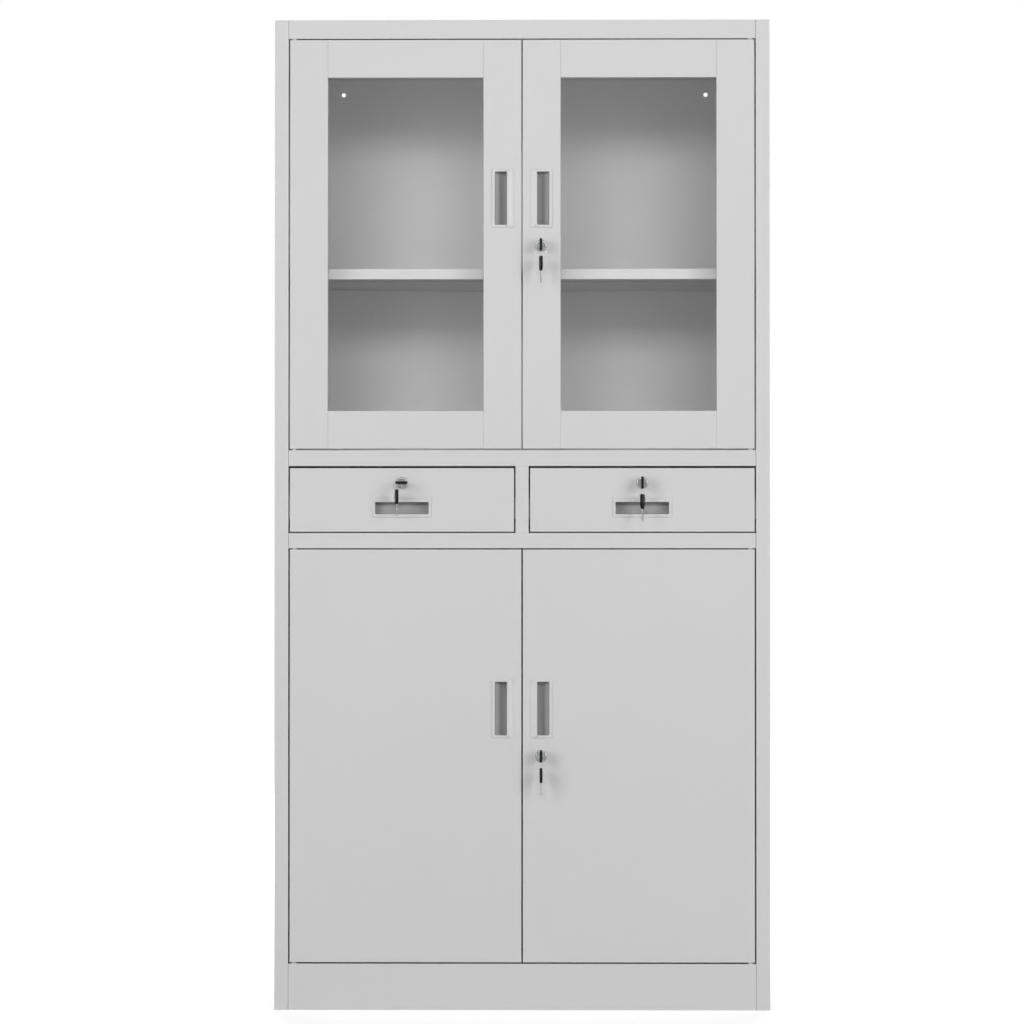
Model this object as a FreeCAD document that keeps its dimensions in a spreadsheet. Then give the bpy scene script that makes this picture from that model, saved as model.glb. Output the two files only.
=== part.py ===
import FreeCAD, Part
import os
import Sketcher

# Metal office cabinet: glazed doors above, two drawers, plain doors below.
# Frame: origin on the floor at the middle of the footprint, +X right, +Y back, +Z up, millimetres.

doc = FreeCAD.newDocument("OfficeCabinet")

SIZES = [
    # the case
    ("cabinet_width", "900", "outside width"),
    ("cabinet_depth", "400", "outside depth without keys and pulls"),
    ("cabinet_height", "1800", "outside height"),
    ("sheet", "0.8", "gauge of the case and door sheet"),
    ("bend", "0.7", "outside radius of a fold in the case"),
    ("stile_width", "25", "front column of a side panel"),
    ("return_depth", "21", "fold behind a column, rail or header"),
    ("back_flange", "20", "rear fold of a side panel"),
    ("return_lip", "8", "last fold of a rail"),
    ("rear_flange", "20", "rear fold of a deck"),
    ("joint_gap", "0.5", "gap where two case sheets meet"),
    ("header_height", "34", "front of the top panel"),
    ("plinth_height", "84", "front of the base"),
    ("base_frame", "20", "width of the frame that stands on the floor"),
    ("lower_opening", "754", "plinth to lower rail"),
    ("lower_rail", "28", "rail under the drawers"),
    ("drawer_opening", "121.5", "lower rail to upper rail"),
    ("upper_rail", "29", "rail over the drawers"),
    ("post_width", "24", "post between the drawers"),
    ("post_back_gap", "20", "post to back panel"),
    ("anchor_spacing", "690", "between the two wall anchor holes"),
    ("anchor_drop", "94", "top to the wall anchor holes"),
    ("anchor_radius", "4", "wall anchor hole"),
    # gaps round doors and drawers
    ("side_gap", "2.5", "gap beside and between doors and drawers"),
    ("door_top_gap", "2", "gap over a door"),
    ("door_bottom_gap", "2.5", "gap under a door"),
    ("drawer_top_gap", "3.5", "gap over a drawer front"),
    ("drawer_bottom_gap", "2", "gap under a drawer front"),
    # doors
    ("door_thickness", "20", "depth of doors and drawer fronts"),
    ("door_bend", "1", "outside radius of a door fold"),
    ("door_lip", "16", "fold round the back of a door"),
    ("frame_width", "69", "members of a glazed door"),
    ("glass_thickness", "4", "pane"),
    ("glass_overlap", "10", "pane behind the frame, each side"),
    ("retainer_foot", "5", "retainer beside the pane"),
    ("retainer_cover", "6", "retainer over the pane"),
    ("retainer_gauge", "1.2", "retainer over the pane, thickness"),
    ("stiffener_width", "60", "hat channel behind a plain door"),
    ("stiffener_foot", "14", "foot of that channel"),
    # hinges
    ("pivot_inset", "8", "door edge to hinge axis"),
    ("pivot_setback", "5", "front to hinge axis"),
    ("pin_radius", "3", "hinge pin"),
    ("pin_head_radius", "4", "head of a hinge pin"),
    ("pin_head_height", "3", "head of a hinge pin"),
    ("pin_play", "0.05", "radial play of pins, plugs and rods"),
    ("bush_radius", "3.9", "sleeve of a hinge bush"),
    ("bush_flange_radius", "4.6", "flange of a hinge bush"),
    ("bush_sleeve", "5", "sleeve length of a hinge bush"),
    ("rest_gap", "0.3", "gap between a door and its bush"),
    ("hole_play", "0.1", "radial play of fixed pieces in their holes"),
    # shelves
    ("shelf_height", "19", "shelf edge"),
    ("shelf_front", "45", "front to shelf"),
    ("shelf_back", "10", "back to shelf"),
    ("shelf_lip", "12", "fold under a shelf"),
    ("shelf_end_gap", "1", "shelf to upright"),
    ("upright_width", "30", "slotted upright"),
    ("upright_depth", "10", "slotted upright"),
    ("upright_front", "52", "front to first upright"),
    ("upright_back", "18", "back to second upright"),
    ("upright_foot", "20", "deck to upright"),
    ("upright_length", "700", "slotted upright"),
    ("slot_first", "30", "upright end to first slot"),
    ("slot_pitch", "50", "slot to slot"),
    ("slot_height", "14", "slot"),
    ("slot_width", "3", "slot"),
    ("clip_width", "16", "shelf clip"),
    ("clip_gauge", "1.5", "shelf clip"),
    ("clip_ledge", "14", "shelf clip under the shelf"),
    ("clip_tongue", "2.4", "shelf clip in its slot"),
    # drawers
    ("runner_space", "13", "opening edge to drawer box"),
    ("runner_height", "36", "drawer runner"),
    ("runner_gauge", "1.2", "drawer runner"),
    ("runner_fold", "9.5", "drawer runner folds"),
    ("runner_play", "0.3", "between the two runner members"),
    ("runner_length", "345", "drawer runner"),
    ("runner_rise", "24", "drawer front bottom to runner"),
    ("bracket_foot", "12", "runner bracket on the side panel"),
    ("box_length", "345", "drawer box"),
    ("box_rise", "8", "drawer front bottom to box"),
    ("box_height", "96", "drawer box"),
    # pulls
    ("pull_width", "40", "recessed pull"),
    ("pull_length", "107", "recessed pull"),
    ("pull_rim", "2.2", "rim in front of the door"),
    ("pull_round", "1.6", "rounding of the rim"),
    ("pull_corner", "3", "corner of the rim"),
    ("pull_grip", "12.5", "grip side of the rim"),
    ("pull_grip_rise", "2", "grip over the rim"),
    ("pull_grip_root", "2.5", "rim edge to the foot of the grip"),
    ("pull_grip_top", "2.5", "flat top of the grip"),
    ("pull_border", "5.5", "other three sides of the rim"),
    ("pull_end", "4", "rim at the ends"),
    ("cup_inset", "3.4", "rim edge to cup"),
    ("cup_wall", "1.6", "wall of the cup"),
    ("cup_room", "3", "cup to door back"),
    ("pull_drop", "289", "door top to pull"),
    ("pull_offset", "35", "middle of the cabinet to a door pull"),
    ("drawer_pull_rise", "46.5", "drawer front bottom to pull"),
    # locks
    ("lock_drop", "86", "pull to lock on a door"),
    ("lock_offset", "34.5", "middle of the cabinet to a door lock"),
    ("drawer_lock_rise", "89", "drawer front bottom to lock"),
    ("bezel_radius", "10.5", "lock bezel"),
    ("bezel_rise", "5", "lock bezel in front of the door"),
    ("bezel_round", "2", "rounding of the bezel"),
    ("barrel_radius", "9", "lock barrel"),
    ("barrel_room", "1.5", "door back to lock cam"),
    ("nut_radius", "13.5", "lock nut over its corners"),
    ("nut_height", "4", "lock nut"),
    ("plug_radius", "6.5", "lock plug"),
    ("plug_rise", "0.3", "plug in front of the bezel"),
    ("keyway_width", "2.4", "slot for the key"),
    ("keyway_height", "8.4", "slot for the key"),
    ("keyway_depth", "22.5", "slot for the key"),
    ("cam_gauge", "2", "lock cam"),
    ("cam_width", "13", "lock cam"),
    ("cam_reach", "45", "lock axis to cam end"),
    ("cam_tail", "8", "lock axis to cam tail"),
    ("cam_round", "4", "corner of the cam"),
    ("tail_side", "6", "square end of the plug, in the cam"),
    ("rivet_radius", "4.5", "rivet head that holds the cam"),
    ("rivet_height", "0.8", "rivet head that holds the cam"),
    # keys
    ("key_width", "22", "key head"),
    ("key_length", "27", "key head"),
    ("key_gauge", "4.6", "key head"),
    ("key_neck", "12", "key head where the blade starts"),
    ("key_taper", "9", "tapered part of the head"),
    ("key_corner", "4", "corner of the head"),
    ("key_edge", "1.3", "rounded edge of the head"),
    ("eye_length", "13", "slot in the head"),
    ("eye_width", "4", "slot in the head"),
    ("eye_bar", "3.5", "head end to slot"),
    ("eye_round", "1.8", "corner of the slot"),
    ("blade_width", "8", "key blade"),
    ("blade_gauge", "2", "key blade"),
    ("blade_length", "21.5", "key blade"),
    ("blade_tip", "3", "pointed end of the blade"),
    ("ring_radius", "10", "key ring, to the middle of its wire"),
    ("ring_wire", "0.6", "radius of the wire"),
    ("ring_rise", "3.6", "bar of the head to the top of the ring"),
    ("spare_gap", "0.1", "ring to the spare key"),
    ("spare_twist", "14", "degrees by which the most crooked spare key hangs turned"),
    # bolts of the doors without a lock
    ("bolt_radius", "4", "slide bolt"),
    ("bolt_length", "120", "slide bolt"),
    ("bolt_setback", "6.5", "door back to bolt axis"),
    ("bolt_drop", "2", "door top to bolt end at rest"),
    ("bolt_knob_radius", "3", "knob of the bolt"),
    ("bolt_knob_reach", "9", "knob of the bolt"),
    ("bolt_knob_rise", "18", "lower bolt end to knob"),
    ("saddle_width", "14", "guide of the bolt"),
    ("saddle_height", "14", "guide of the bolt"),
    ("saddle_depth", "12", "guide of the bolt"),
    ("saddle_drop", "20", "door top to upper guide"),
    ("saddle_pitch", "50", "guide to guide"),
]

sheet = doc.addObject("Spreadsheet::Sheet", "Sizes")
for row, (alias, value, note) in enumerate(SIZES, start=1):
    sheet.set("A%d" % row, note)
    sheet.set("B%d" % row, value)
    sheet.setAlias("B%d" % row, alias)
doc.recompute()


class Size:
    """A length, as its value now and as the sheet formula behind it."""

    def __init__(self, value, text):
        self.value = value
        self.text = text

    def __add__(self, other):
        other = as_size(other)
        return Size(self.value + other.value, "(%s + %s)" % (self.text, other.text))

    __radd__ = __add__

    def __sub__(self, other):
        other = as_size(other)
        return Size(self.value - other.value, "(%s - %s)" % (self.text, other.text))

    def __rsub__(self, other):
        return as_size(other) - self

    def __mul__(self, factor):
        return Size(self.value * factor, "(%s * %r)" % (self.text, factor))

    __rmul__ = __mul__

    def __truediv__(self, factor):
        return Size(self.value / factor, "(%s / %r)" % (self.text, factor))

    def __neg__(self):
        return self * -1


def as_size(value):
    """Leave a size as it is and make one of a plain zero."""
    return value if isinstance(value, Size) else Size(float(value), "%r" % value)


class Sheet:
    """The cells of the sheet as sizes."""


s = Sheet()
for alias, value, note in SIZES:
    setattr(s, alias, Size(float(sheet.get(alias)), "Sizes." + alias))


def bind(thing, prop, size):
    """Tie a property to the sheet."""
    thing.setExpression(prop, as_size(size).text)


def rect(left, right, bottom, top):
    """Corner points of a rectangle."""
    return [(left, bottom), (right, bottom), (right, top), (left, top)]


def fold(path, gauge, side):
    """Outline of a folded sheet: the path of one face, and the same path one gauge to its left or right."""
    steps = []
    for (u0, v0), (u1, v1) in zip(path, path[1:]):
        du = as_size(u1).value - as_size(u0).value
        dv = as_size(v1).value - as_size(v0).value
        across = abs(du) > abs(dv)
        steps.append((0, side if du > 0 else -side) if across else (-side if dv > 0 else side, 0))
    inner = []
    for i, (u, v) in enumerate(path):
        near = set(steps[max(i - 1, 0):i + 1])
        shift_u = sum(step[0] for step in near)
        shift_v = sum(step[1] for step in near)
        inner.append((u + gauge * shift_u, v + gauge * shift_v))
    return list(path) + inner[::-1]


# An edge this share of the sheet's gauge away from a place lies on it.
NEAR_SHARE = 0.05


class Piece:
    """A body whose features are drawn in the cabinet's own frame."""

    def __init__(self, name):
        self.body = doc.addObject("PartDesign::Body", name)
        self.body.Label = name
        self.planes = {part.Role: part for part in self.body.Origin.OriginFeatures}
        self.last = None

    def sketch(self, plane, level, loops):
        """A sketch at a level along the plane's axis: loops are point lists, or (u, v, radius) for a circle."""
        sketch = self.body.newObject("Sketcher::SketchObject", self.body.Name + "_sketch")
        sketch.AttachmentSupport = [(self.planes[plane + "_Plane"], "")]
        sketch.MapMode = "FlatFace"
        bind(sketch, "AttachmentOffset.Base.z", -as_size(level) if plane == "XZ" else as_size(level))
        shapes = []
        rules = []
        sizes = []
        for loop in loops:
            first = len(shapes)
            if isinstance(loop, tuple):
                u, v, radius = (as_size(part) for part in loop)
                centre = FreeCAD.Vector(u.value, v.value, 0)
                shapes.append(Part.Circle(centre, FreeCAD.Vector(0, 0, 1), radius.value))
                for kind, size in (("DistanceX", u), ("DistanceY", v)):
                    sizes.append((len(rules), size))
                    rules.append(Sketcher.Constraint(kind, -1, 1, first, 3, size.value))
                sizes.append((len(rules), radius))
                rules.append(Sketcher.Constraint("Radius", first, radius.value))
                continue
            points = [(as_size(u), as_size(v)) for u, v in loop]
            count = len(points)
            spots = [FreeCAD.Vector(u.value, v.value, 0) for u, v in points]
            for i in range(count):
                shapes.append(Part.LineSegment(spots[i], spots[(i + 1) % count]))
            for i in range(count):
                rules.append(Sketcher.Constraint("Coincident", first + i, 2, first + (i + 1) % count, 1))
            for i, point in enumerate(points):
                for kind, size in zip(("DistanceX", "DistanceY"), point):
                    sizes.append((len(rules), size))
                    rules.append(Sketcher.Constraint(kind, -1, 1, first + i, 1, size.value))
        sketch.addGeometry(shapes, False)
        sketch.addConstraint(rules)
        for index, size in sizes:
            bind(sketch, "Constraints[%d]" % index, size)
        return sketch

    def feature(self, kind, sketch):
        self.last = self.body.newObject("PartDesign::" + kind, self.body.Name + "_" + kind.lower())
        self.last.Profile = sketch
        return self.last

    def pad(self, plane, start, end, *loops):
        """Add the loops between two levels."""
        pad = self.feature("Pad", self.sketch(plane, end if plane == "XZ" else start, loops))
        bind(pad, "Length", as_size(end) - start)
        return self

    def pocket(self, plane, start, end, *loops):
        """Remove the loops between two levels."""
        doc.recompute()
        pocket = self.feature("Pocket", self.sketch(plane, start if plane == "XZ" else end, loops))
        bind(pocket, "Length", as_size(end) - start)
        return self

    def turn(self, plane, points):
        """Turn a half section round the plane's upright axis."""
        sketch = self.sketch(plane, 0, [points])
        turned = self.feature("Revolution", sketch)
        turned.ReferenceAxis = (sketch, ["V_Axis"])
        turned.Angle = 360
        return self

    def repeat(self, axis, pitch, count):
        """Repeat the last feature along an axis of its sketch."""
        doc.recompute()
        original = self.last
        pattern = self.body.newObject("PartDesign::LinearPattern", self.body.Name + "_pattern")
        pattern.Originals = [original]
        pattern.Direction = (original.Profile[0], [axis])
        bind(pattern, "Length", pitch * (count - 1))
        pattern.Occurrences = count
        self.body.Tip = pattern
        self.last = pattern
        return self

    def soften(self, radius, *places):
        """Round the edges that lie on the given lines, such as {"x": size, "y": size}, or planes."""
        doc.recompute()
        near = s.sheet.value * NEAR_SHARE
        names = []
        for number, edge in enumerate(self.last.Shape.Edges, start=1):
            box = edge.BoundBox
            spans = {"x": (box.XMin, box.XMax), "y": (box.YMin, box.YMax), "z": (box.ZMin, box.ZMax)}
            for place in places:
                if all(max(abs(end - as_size(size).value) for end in spans[axis]) < near
                       for axis, size in place.items()):
                    names.append("Edge%d" % number)
                    break
        fillet = self.body.newObject("PartDesign::Fillet", self.body.Name + "_fillet")
        fillet.Base = (self.last, names)
        bind(fillet, "Radius", radius)
        self.last = fillet
        return self

    def place(self, x, y, z, quarter_turns=0):
        """Put a piece that was drawn round the origin where it belongs, turned clockwise as seen from the front."""
        axis = FreeCAD.Vector(0, 1, 0)
        self.body.Placement = FreeCAD.Placement(FreeCAD.Vector(), FreeCAD.Rotation(axis, 90 * quarter_turns))
        for letter, size in (("x", x), ("y", y), ("z", z)):
            bind(self.body, "Placement.Base." + letter, size)
        return self

    def twist(self, degrees):
        """Turn a placed piece about its own upright axis."""
        axis = FreeCAD.Vector(0, 0, 1)
        self.body.Placement = FreeCAD.Placement(FreeCAD.Vector(), FreeCAD.Rotation(axis, degrees.value))
        bind(self.body, "Placement.Rotation.Angle", degrees)


nodes = []


def keep(piece):
    """A node of one body."""
    nodes.append(piece.body)


def group(name, pieces, *others):
    """A node of several separate solids: pieces, and other objects of the document."""
    compound = doc.addObject("Part::Compound", name)
    compound.Label = name
    compound.Links = [piece.body for piece in pieces] + list(others)
    nodes.append(compound)


# Levels that most pieces share.
front = -s.cabinet_depth / 2
rear = s.cabinet_depth / 2
side = s.cabinet_width / 2
wall = side - s.sheet
column = side - s.stile_width
rail_end = column - s.joint_gap
return_back = front + s.return_depth
deck_front = return_back + s.joint_gap
back_face = rear - s.sheet * 2
header_bottom = s.cabinet_height - s.header_height
lower_rail_bottom = s.plinth_height + s.lower_opening
lower_deck_top = lower_rail_bottom + s.lower_rail
upper_rail_bottom = lower_deck_top + s.drawer_opening
upper_deck_top = upper_rail_bottom + s.upper_rail
door_edge = column - s.side_gap
door_back = front + s.door_thickness
pivot_x = door_edge - s.pivot_inset
pivot_y = front + s.pivot_setback
sleeve_hole = s.bush_radius + s.hole_play
LEFT = -1
RIGHT = 1


def span(hand, near, far):
    """Two distances from the middle of the cabinet, on one side of it, as left and right."""
    return (near, far) if hand == RIGHT else (-far, -near)



# Side panels. One sheet each, folded to a front column with a return and to a rear flange.
for name, hand in (("side_panel_left", LEFT), ("side_panel_right", RIGHT)):
    path = [
        (column * hand, return_back),
        (column * hand, front),
        (side * hand, front),
        (side * hand, rear),
        ((side - s.back_flange) * hand, rear),
    ]
    panel = Piece(name).pad("XY", 0, s.cabinet_height - s.sheet, fold(path, s.sheet, hand))
    panel.soften(
        s.bend,
        {"x": column * hand, "y": front},
        {"x": side * hand, "y": front},
        {"x": side * hand, "y": rear},
    )
    keep(panel)

# Top panel. It lies on the side panels, and its front folds down between the columns as the header.
top = Piece("top_panel")
top.pad("XY", s.cabinet_height - s.sheet, s.cabinet_height, rect(-side, side, front, rear))
top.pad("YZ", -rail_end, rail_end, fold([
    (front, s.cabinet_height - s.sheet),
    (front, header_bottom),
    (return_back, header_bottom),
    (return_back, header_bottom + s.return_lip),
], s.sheet, 1))
top.pad("YZ", s.joint_gap - wall, wall - s.joint_gap, rect(
    back_face - s.sheet, back_face, s.cabinet_height - s.rear_flange, s.cabinet_height - s.sheet))
top.pocket("XY", header_bottom, header_bottom + s.sheet,
           (pivot_x, pivot_y, sleeve_hole), (-pivot_x, pivot_y, sleeve_hole))
top.soften(s.bend, {"y": front, "z": header_bottom})
keep(top)

# Back panel. A flat sheet in front of the rear flanges, with two holes for wall anchors.
back = Piece("back_panel").pad(
    "XZ", back_face, back_face + s.sheet,
    rect(s.joint_gap - wall, wall - s.joint_gap, 0, s.cabinet_height - s.sheet),
    (s.anchor_spacing / 2, s.cabinet_height - s.anchor_drop, s.anchor_radius),
    (-s.anchor_spacing / 2, s.cabinet_height - s.anchor_drop, s.anchor_radius),
)
keep(back)


def deck(name, top_level):
    """A deck sheet from the front to the back panel, cut round the columns."""
    return Piece(name).pad("XY", top_level - s.sheet, top_level, [
        (-rail_end, front),
        (rail_end, front),
        (rail_end, deck_front),
        (wall, deck_front),
        (wall, back_face),
        (-wall, back_face),
        (-wall, deck_front),
        (-rail_end, deck_front),
    ])


def sleeve_holes(piece, level):
    """Holes for the hinge bushes in the sheet that starts at a level."""
    piece.pocket("XY", level, level + s.sheet,
                 (pivot_x, pivot_y, sleeve_hole), (-pivot_x, pivot_y, sleeve_hole))


# Base. The lowest deck, with the plinth in front, a rear leg and a flat frame that stands on the floor.
base = deck("base_panel", s.plinth_height)
base.pad("YZ", -rail_end, rail_end, rect(front, front + s.sheet, 0, s.plinth_height - s.sheet))
base.pad("YZ", -rail_end, rail_end, rect(back_face - s.sheet, back_face, 0, s.plinth_height - s.sheet))
base.pad(
    "XY", 0, s.sheet,
    rect(-rail_end, rail_end, front, back_face),
    rect(s.base_frame - rail_end, rail_end - s.base_frame, front + s.base_frame, back_face - s.base_frame),
)
sleeve_holes(base, s.plinth_height - s.sheet)
base.soften(s.bend, {"y": front, "z": s.plinth_height})
keep(base)

# Decks under and over the drawers. Each ends in a rail with a return, behind which bolts and cams catch.
for name, top_level, rail_bottom in (
    ("lower_deck", lower_deck_top, lower_rail_bottom),
    ("upper_deck", upper_deck_top, upper_rail_bottom),
):
    piece = deck(name, top_level)
    piece.pad("YZ", -rail_end, rail_end, fold([
        (front, top_level - s.sheet),
        (front, rail_bottom),
        (return_back, rail_bottom),
        (return_back, rail_bottom + s.return_lip),
    ], s.sheet, 1))
    piece.pad("YZ", -rail_end, rail_end, rect(
        back_face - s.sheet, back_face, top_level - s.rear_flange, top_level - s.sheet))
    sleeve_holes(piece, top_level - s.sheet if name == "upper_deck" else rail_bottom)
    piece.soften(s.bend, {"y": front, "z": top_level}, {"y": front, "z": rail_bottom})
    keep(piece)

# Post between the drawers. A deep channel, open at the back, whose cheeks carry the inner runners.
post_half = s.post_width / 2
post_back = back_face - s.post_back_gap
post = Piece("centre_post")
post.pad("XY", lower_deck_top, upper_rail_bottom, fold([
    (-post_half, post_back),
    (-post_half, front),
    (post_half, front),
    (post_half, post_back),
], s.sheet, 1))
for hand in (LEFT, RIGHT):
    ends = span(hand, post_half - s.sheet, post_half)
    post.pad("XY", upper_rail_bottom, upper_deck_top - s.sheet, rect(*ends, deck_front, post_back))
post.soften(s.bend, {"x": -post_half, "y": front}, {"x": post_half, "y": front})
keep(post)

# Slotted uprights. Channels on the side panels, two on each side of both cupboards.
uprights = []
upright_bases = (s.plinth_height + s.upright_foot, upper_deck_top + s.upright_foot)
upright_starts = (front + s.upright_front, rear - s.upright_back - s.upright_width)
upright_face = wall - s.upright_depth
slot_count = int((s.upright_length.value - s.slot_first.value) / s.slot_pitch.value)
for bottom in upright_bases:
    for start in upright_starts:
        for hand in (LEFT, RIGHT):
            strip = Piece("upright_strip")
            strip.pad("XY", bottom, bottom + s.upright_length, fold([
                (wall * hand, start),
                (upright_face * hand, start),
                (upright_face * hand, start + s.upright_width),
                (wall * hand, start + s.upright_width),
            ], s.sheet, -hand))
            middle = start + s.upright_width / 2
            strip.pocket("YZ", *span(hand, upright_face, upright_face + s.sheet), rect(
                middle - s.slot_width / 2, middle + s.slot_width / 2,
                bottom + s.slot_first, bottom + s.slot_first + s.slot_height))
            strip.repeat("V_Axis", s.slot_pitch, slot_count)
            uprights.append(strip)
group("shelf_uprights", uprights)

# Shelf clips. Bent steel, each with a tongue in a slot and a ledge under the shelf.
clips = []
slots_below_lower_shelf = 6
slots_below_upper_shelf = 5
shelf_slots = (
    upright_bases[0] + s.slot_first + s.slot_pitch * slots_below_lower_shelf,
    upright_bases[1] + s.slot_first + s.slot_pitch * slots_below_upper_shelf,
)
for slot in shelf_slots:
    ledge = slot + s.slot_height
    for start in upright_starts:
        middle = start + s.upright_width / 2
        for hand in (LEFT, RIGHT):
            clip = Piece("clip")
            clip.pad("XZ", middle - s.clip_width / 2, middle + s.clip_width / 2, fold([
                (upright_face * hand, slot),
                (upright_face * hand, ledge),
                ((upright_face - s.clip_ledge) * hand, ledge),
            ], s.clip_gauge, hand))
            tongue = span(hand, upright_face - s.clip_gauge, upright_face + s.clip_gauge * 2)
            clip.pad("XZ", middle - s.clip_tongue / 2, middle + s.clip_tongue / 2,
                     rect(*tongue, slot + s.sheet, ledge - s.sheet))
            clips.append(clip)
group("shelf_clips", clips)

# Shelves. Folded pans, open below, with a fold under each edge.
shelf_end = upright_face - s.shelf_end_gap
for name, slot in (("lower_shelf", shelf_slots[0]), ("upper_shelf", shelf_slots[1])):
    bottom = slot + s.slot_height
    upper = bottom + s.shelf_height
    near = front + s.shelf_front
    far = rear - s.shelf_back
    shelf = Piece(name).pad("XY", bottom, upper, rect(-shelf_end, shelf_end, near, far))
    shelf.soften(s.bend, {"y": near, "z": upper}, {"y": near, "z": bottom})
    shelf.pocket("XY", bottom + s.sheet, upper - s.sheet, rect(
        s.sheet - shelf_end, shelf_end - s.sheet, near + s.sheet, far - s.sheet))
    shelf.pocket("XY", bottom, bottom + s.sheet, rect(
        s.shelf_lip - shelf_end, shelf_end - s.shelf_lip, near + s.shelf_lip, far - s.shelf_lip))
    keep(shelf)

# Hinge bushes. Pale nylon, a sleeve through the sheet and a flange in the gap at the top or bottom of a door.
bore = s.pin_radius + s.pin_play
bushes = []
for level in (s.plinth_height, upper_deck_top):
    flange_top = level + s.door_bottom_gap - s.rest_gap
    for hand in (LEFT, RIGHT):
        bush = Piece("bottom_bush").turn("XZ", [
            (bore, level - s.bush_sleeve),
            (s.bush_radius, level - s.bush_sleeve),
            (s.bush_radius, level),
            (s.bush_flange_radius, level),
            (s.bush_flange_radius, flange_top),
            (bore, flange_top),
        ])
        bushes.append(bush.place(pivot_x * hand, pivot_y, 0))
for level in (lower_rail_bottom, header_bottom):
    flange_bottom = level - s.door_top_gap + s.rest_gap
    for hand in (LEFT, RIGHT):
        bush = Piece("top_bush").turn("XZ", [
            (bore, flange_bottom),
            (s.bush_flange_radius, flange_bottom),
            (s.bush_flange_radius, level),
            (s.bush_radius, level),
            (s.bush_radius, level + s.bush_sleeve),
            (bore, level + s.bush_sleeve),
        ])
        bushes.append(bush.place(pivot_x * hand, pivot_y, 0))
group("hinge_bushes", bushes)

# Levels of the drawers.
drawer_bottom = lower_deck_top + s.drawer_bottom_gap
drawer_top = upper_rail_bottom - s.drawer_top_gap
drawer_inner = post_half + s.side_gap
drawer_outer = door_edge
drawer_middle = (drawer_inner + drawer_outer) / 2
runner_bottom = drawer_bottom + s.runner_rise
runner_top = runner_bottom + s.runner_height

# Runner brackets. Hat channels on the side panels that bring the outer runners in line with the columns.
brackets = []
for hand in (LEFT, RIGHT):
    bracket = Piece("bracket").pad("XZ", deck_front, deck_front + s.runner_length, fold([
        (wall * hand, runner_bottom - s.bracket_foot),
        (wall * hand, runner_bottom),
        ((column + s.sheet) * hand, runner_bottom),
        ((column + s.sheet) * hand, runner_top),
        (wall * hand, runner_top),
        (wall * hand, runner_top + s.bracket_foot),
    ], s.sheet, hand))
    brackets.append(bracket)
group("runner_brackets", brackets)

# Cabinet runners. Steel channels on the brackets and on the post, open towards the drawers.
channels = []
for hand in (LEFT, RIGHT):
    for mount, towards in ((column * hand, -hand), (post_half * hand, hand)):
        tip = mount + s.runner_fold * towards
        channel = Piece("cabinet_runner").pad("XZ", deck_front, deck_front + s.runner_length, fold([
            (tip, runner_bottom),
            (mount, runner_bottom),
            (mount, runner_top),
            (tip, runner_top),
        ], s.runner_gauge, -1 if towards == 1 else 1))
        channels.append(channel)
group("cabinet_runners", channels)


def pan(piece, left, right, bottom, top_level, lip):
    """A folded pan: a skin at the front, four edges as deep as a door, and a fold round the back."""
    piece.pad("XZ", front, door_back, rect(left, right, bottom, top_level))
    piece.soften(
        s.door_bend,
        {"y": front, "x": left},
        {"y": front, "x": right},
        {"y": front, "z": bottom},
        {"y": front, "z": top_level},
    )
    piece.pocket("XZ", front + s.sheet, door_back - s.sheet, rect(
        left + s.sheet, right - s.sheet, bottom + s.sheet, top_level - s.sheet))
    piece.pocket("XZ", door_back - s.sheet, door_back, rect(
        left + lip, right - lip, bottom + lip, top_level - lip))
    return piece


def pull_hole(piece, x, z, upright):
    """The cut-out for the cup of a recessed pull."""
    half = (s.pull_width / 2 - s.cup_inset + s.hole_play, s.pull_length / 2 - s.cup_inset + s.hole_play)
    across, along = half if upright else half[::-1]
    piece.pocket("XZ", front, front + s.sheet, rect(x - across, x + across, z - along, z + along))


def round_hole(piece, x, z, radius):
    """A round hole in the skin."""
    piece.pocket("XZ", front, front + s.sheet, (x, z, radius))


def pin_holes(piece, hand, bottom, top_level):
    """Holes for the hinge pins in both ends."""
    hole = (pivot_x * hand, pivot_y, s.pin_radius + s.hole_play)
    piece.pocket("XY", bottom, bottom + s.sheet, hole)
    piece.pocket("XY", top_level - s.sheet, top_level, hole)


def pins(name, hand, bottom, top_level):
    """Headed hinge pins that stand out of both ends of a door."""
    lower_end = bottom - s.door_bottom_gap - s.bush_sleeve + s.rest_gap * 2
    upper_end = top_level + s.door_top_gap + s.bush_sleeve - s.rest_gap * 2
    lower = Piece("lower_pin").turn("XZ", [
        (0, lower_end),
        (s.pin_radius, lower_end),
        (s.pin_radius, bottom + s.sheet),
        (s.pin_head_radius, bottom + s.sheet),
        (s.pin_head_radius, bottom + s.sheet + s.pin_head_height),
        (0, bottom + s.sheet + s.pin_head_height),
    ])
    upper = Piece("upper_pin").turn("XZ", [
        (0, top_level - s.sheet - s.pin_head_height),
        (s.pin_head_radius, top_level - s.sheet - s.pin_head_height),
        (s.pin_head_radius, top_level - s.sheet),
        (s.pin_radius, top_level - s.sheet),
        (s.pin_radius, upper_end),
        (0, upper_end),
    ])
    for pin in (lower, upper):
        pin.place(pivot_x * hand, pivot_y, 0)
    group(name, [lower, upper])


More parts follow.
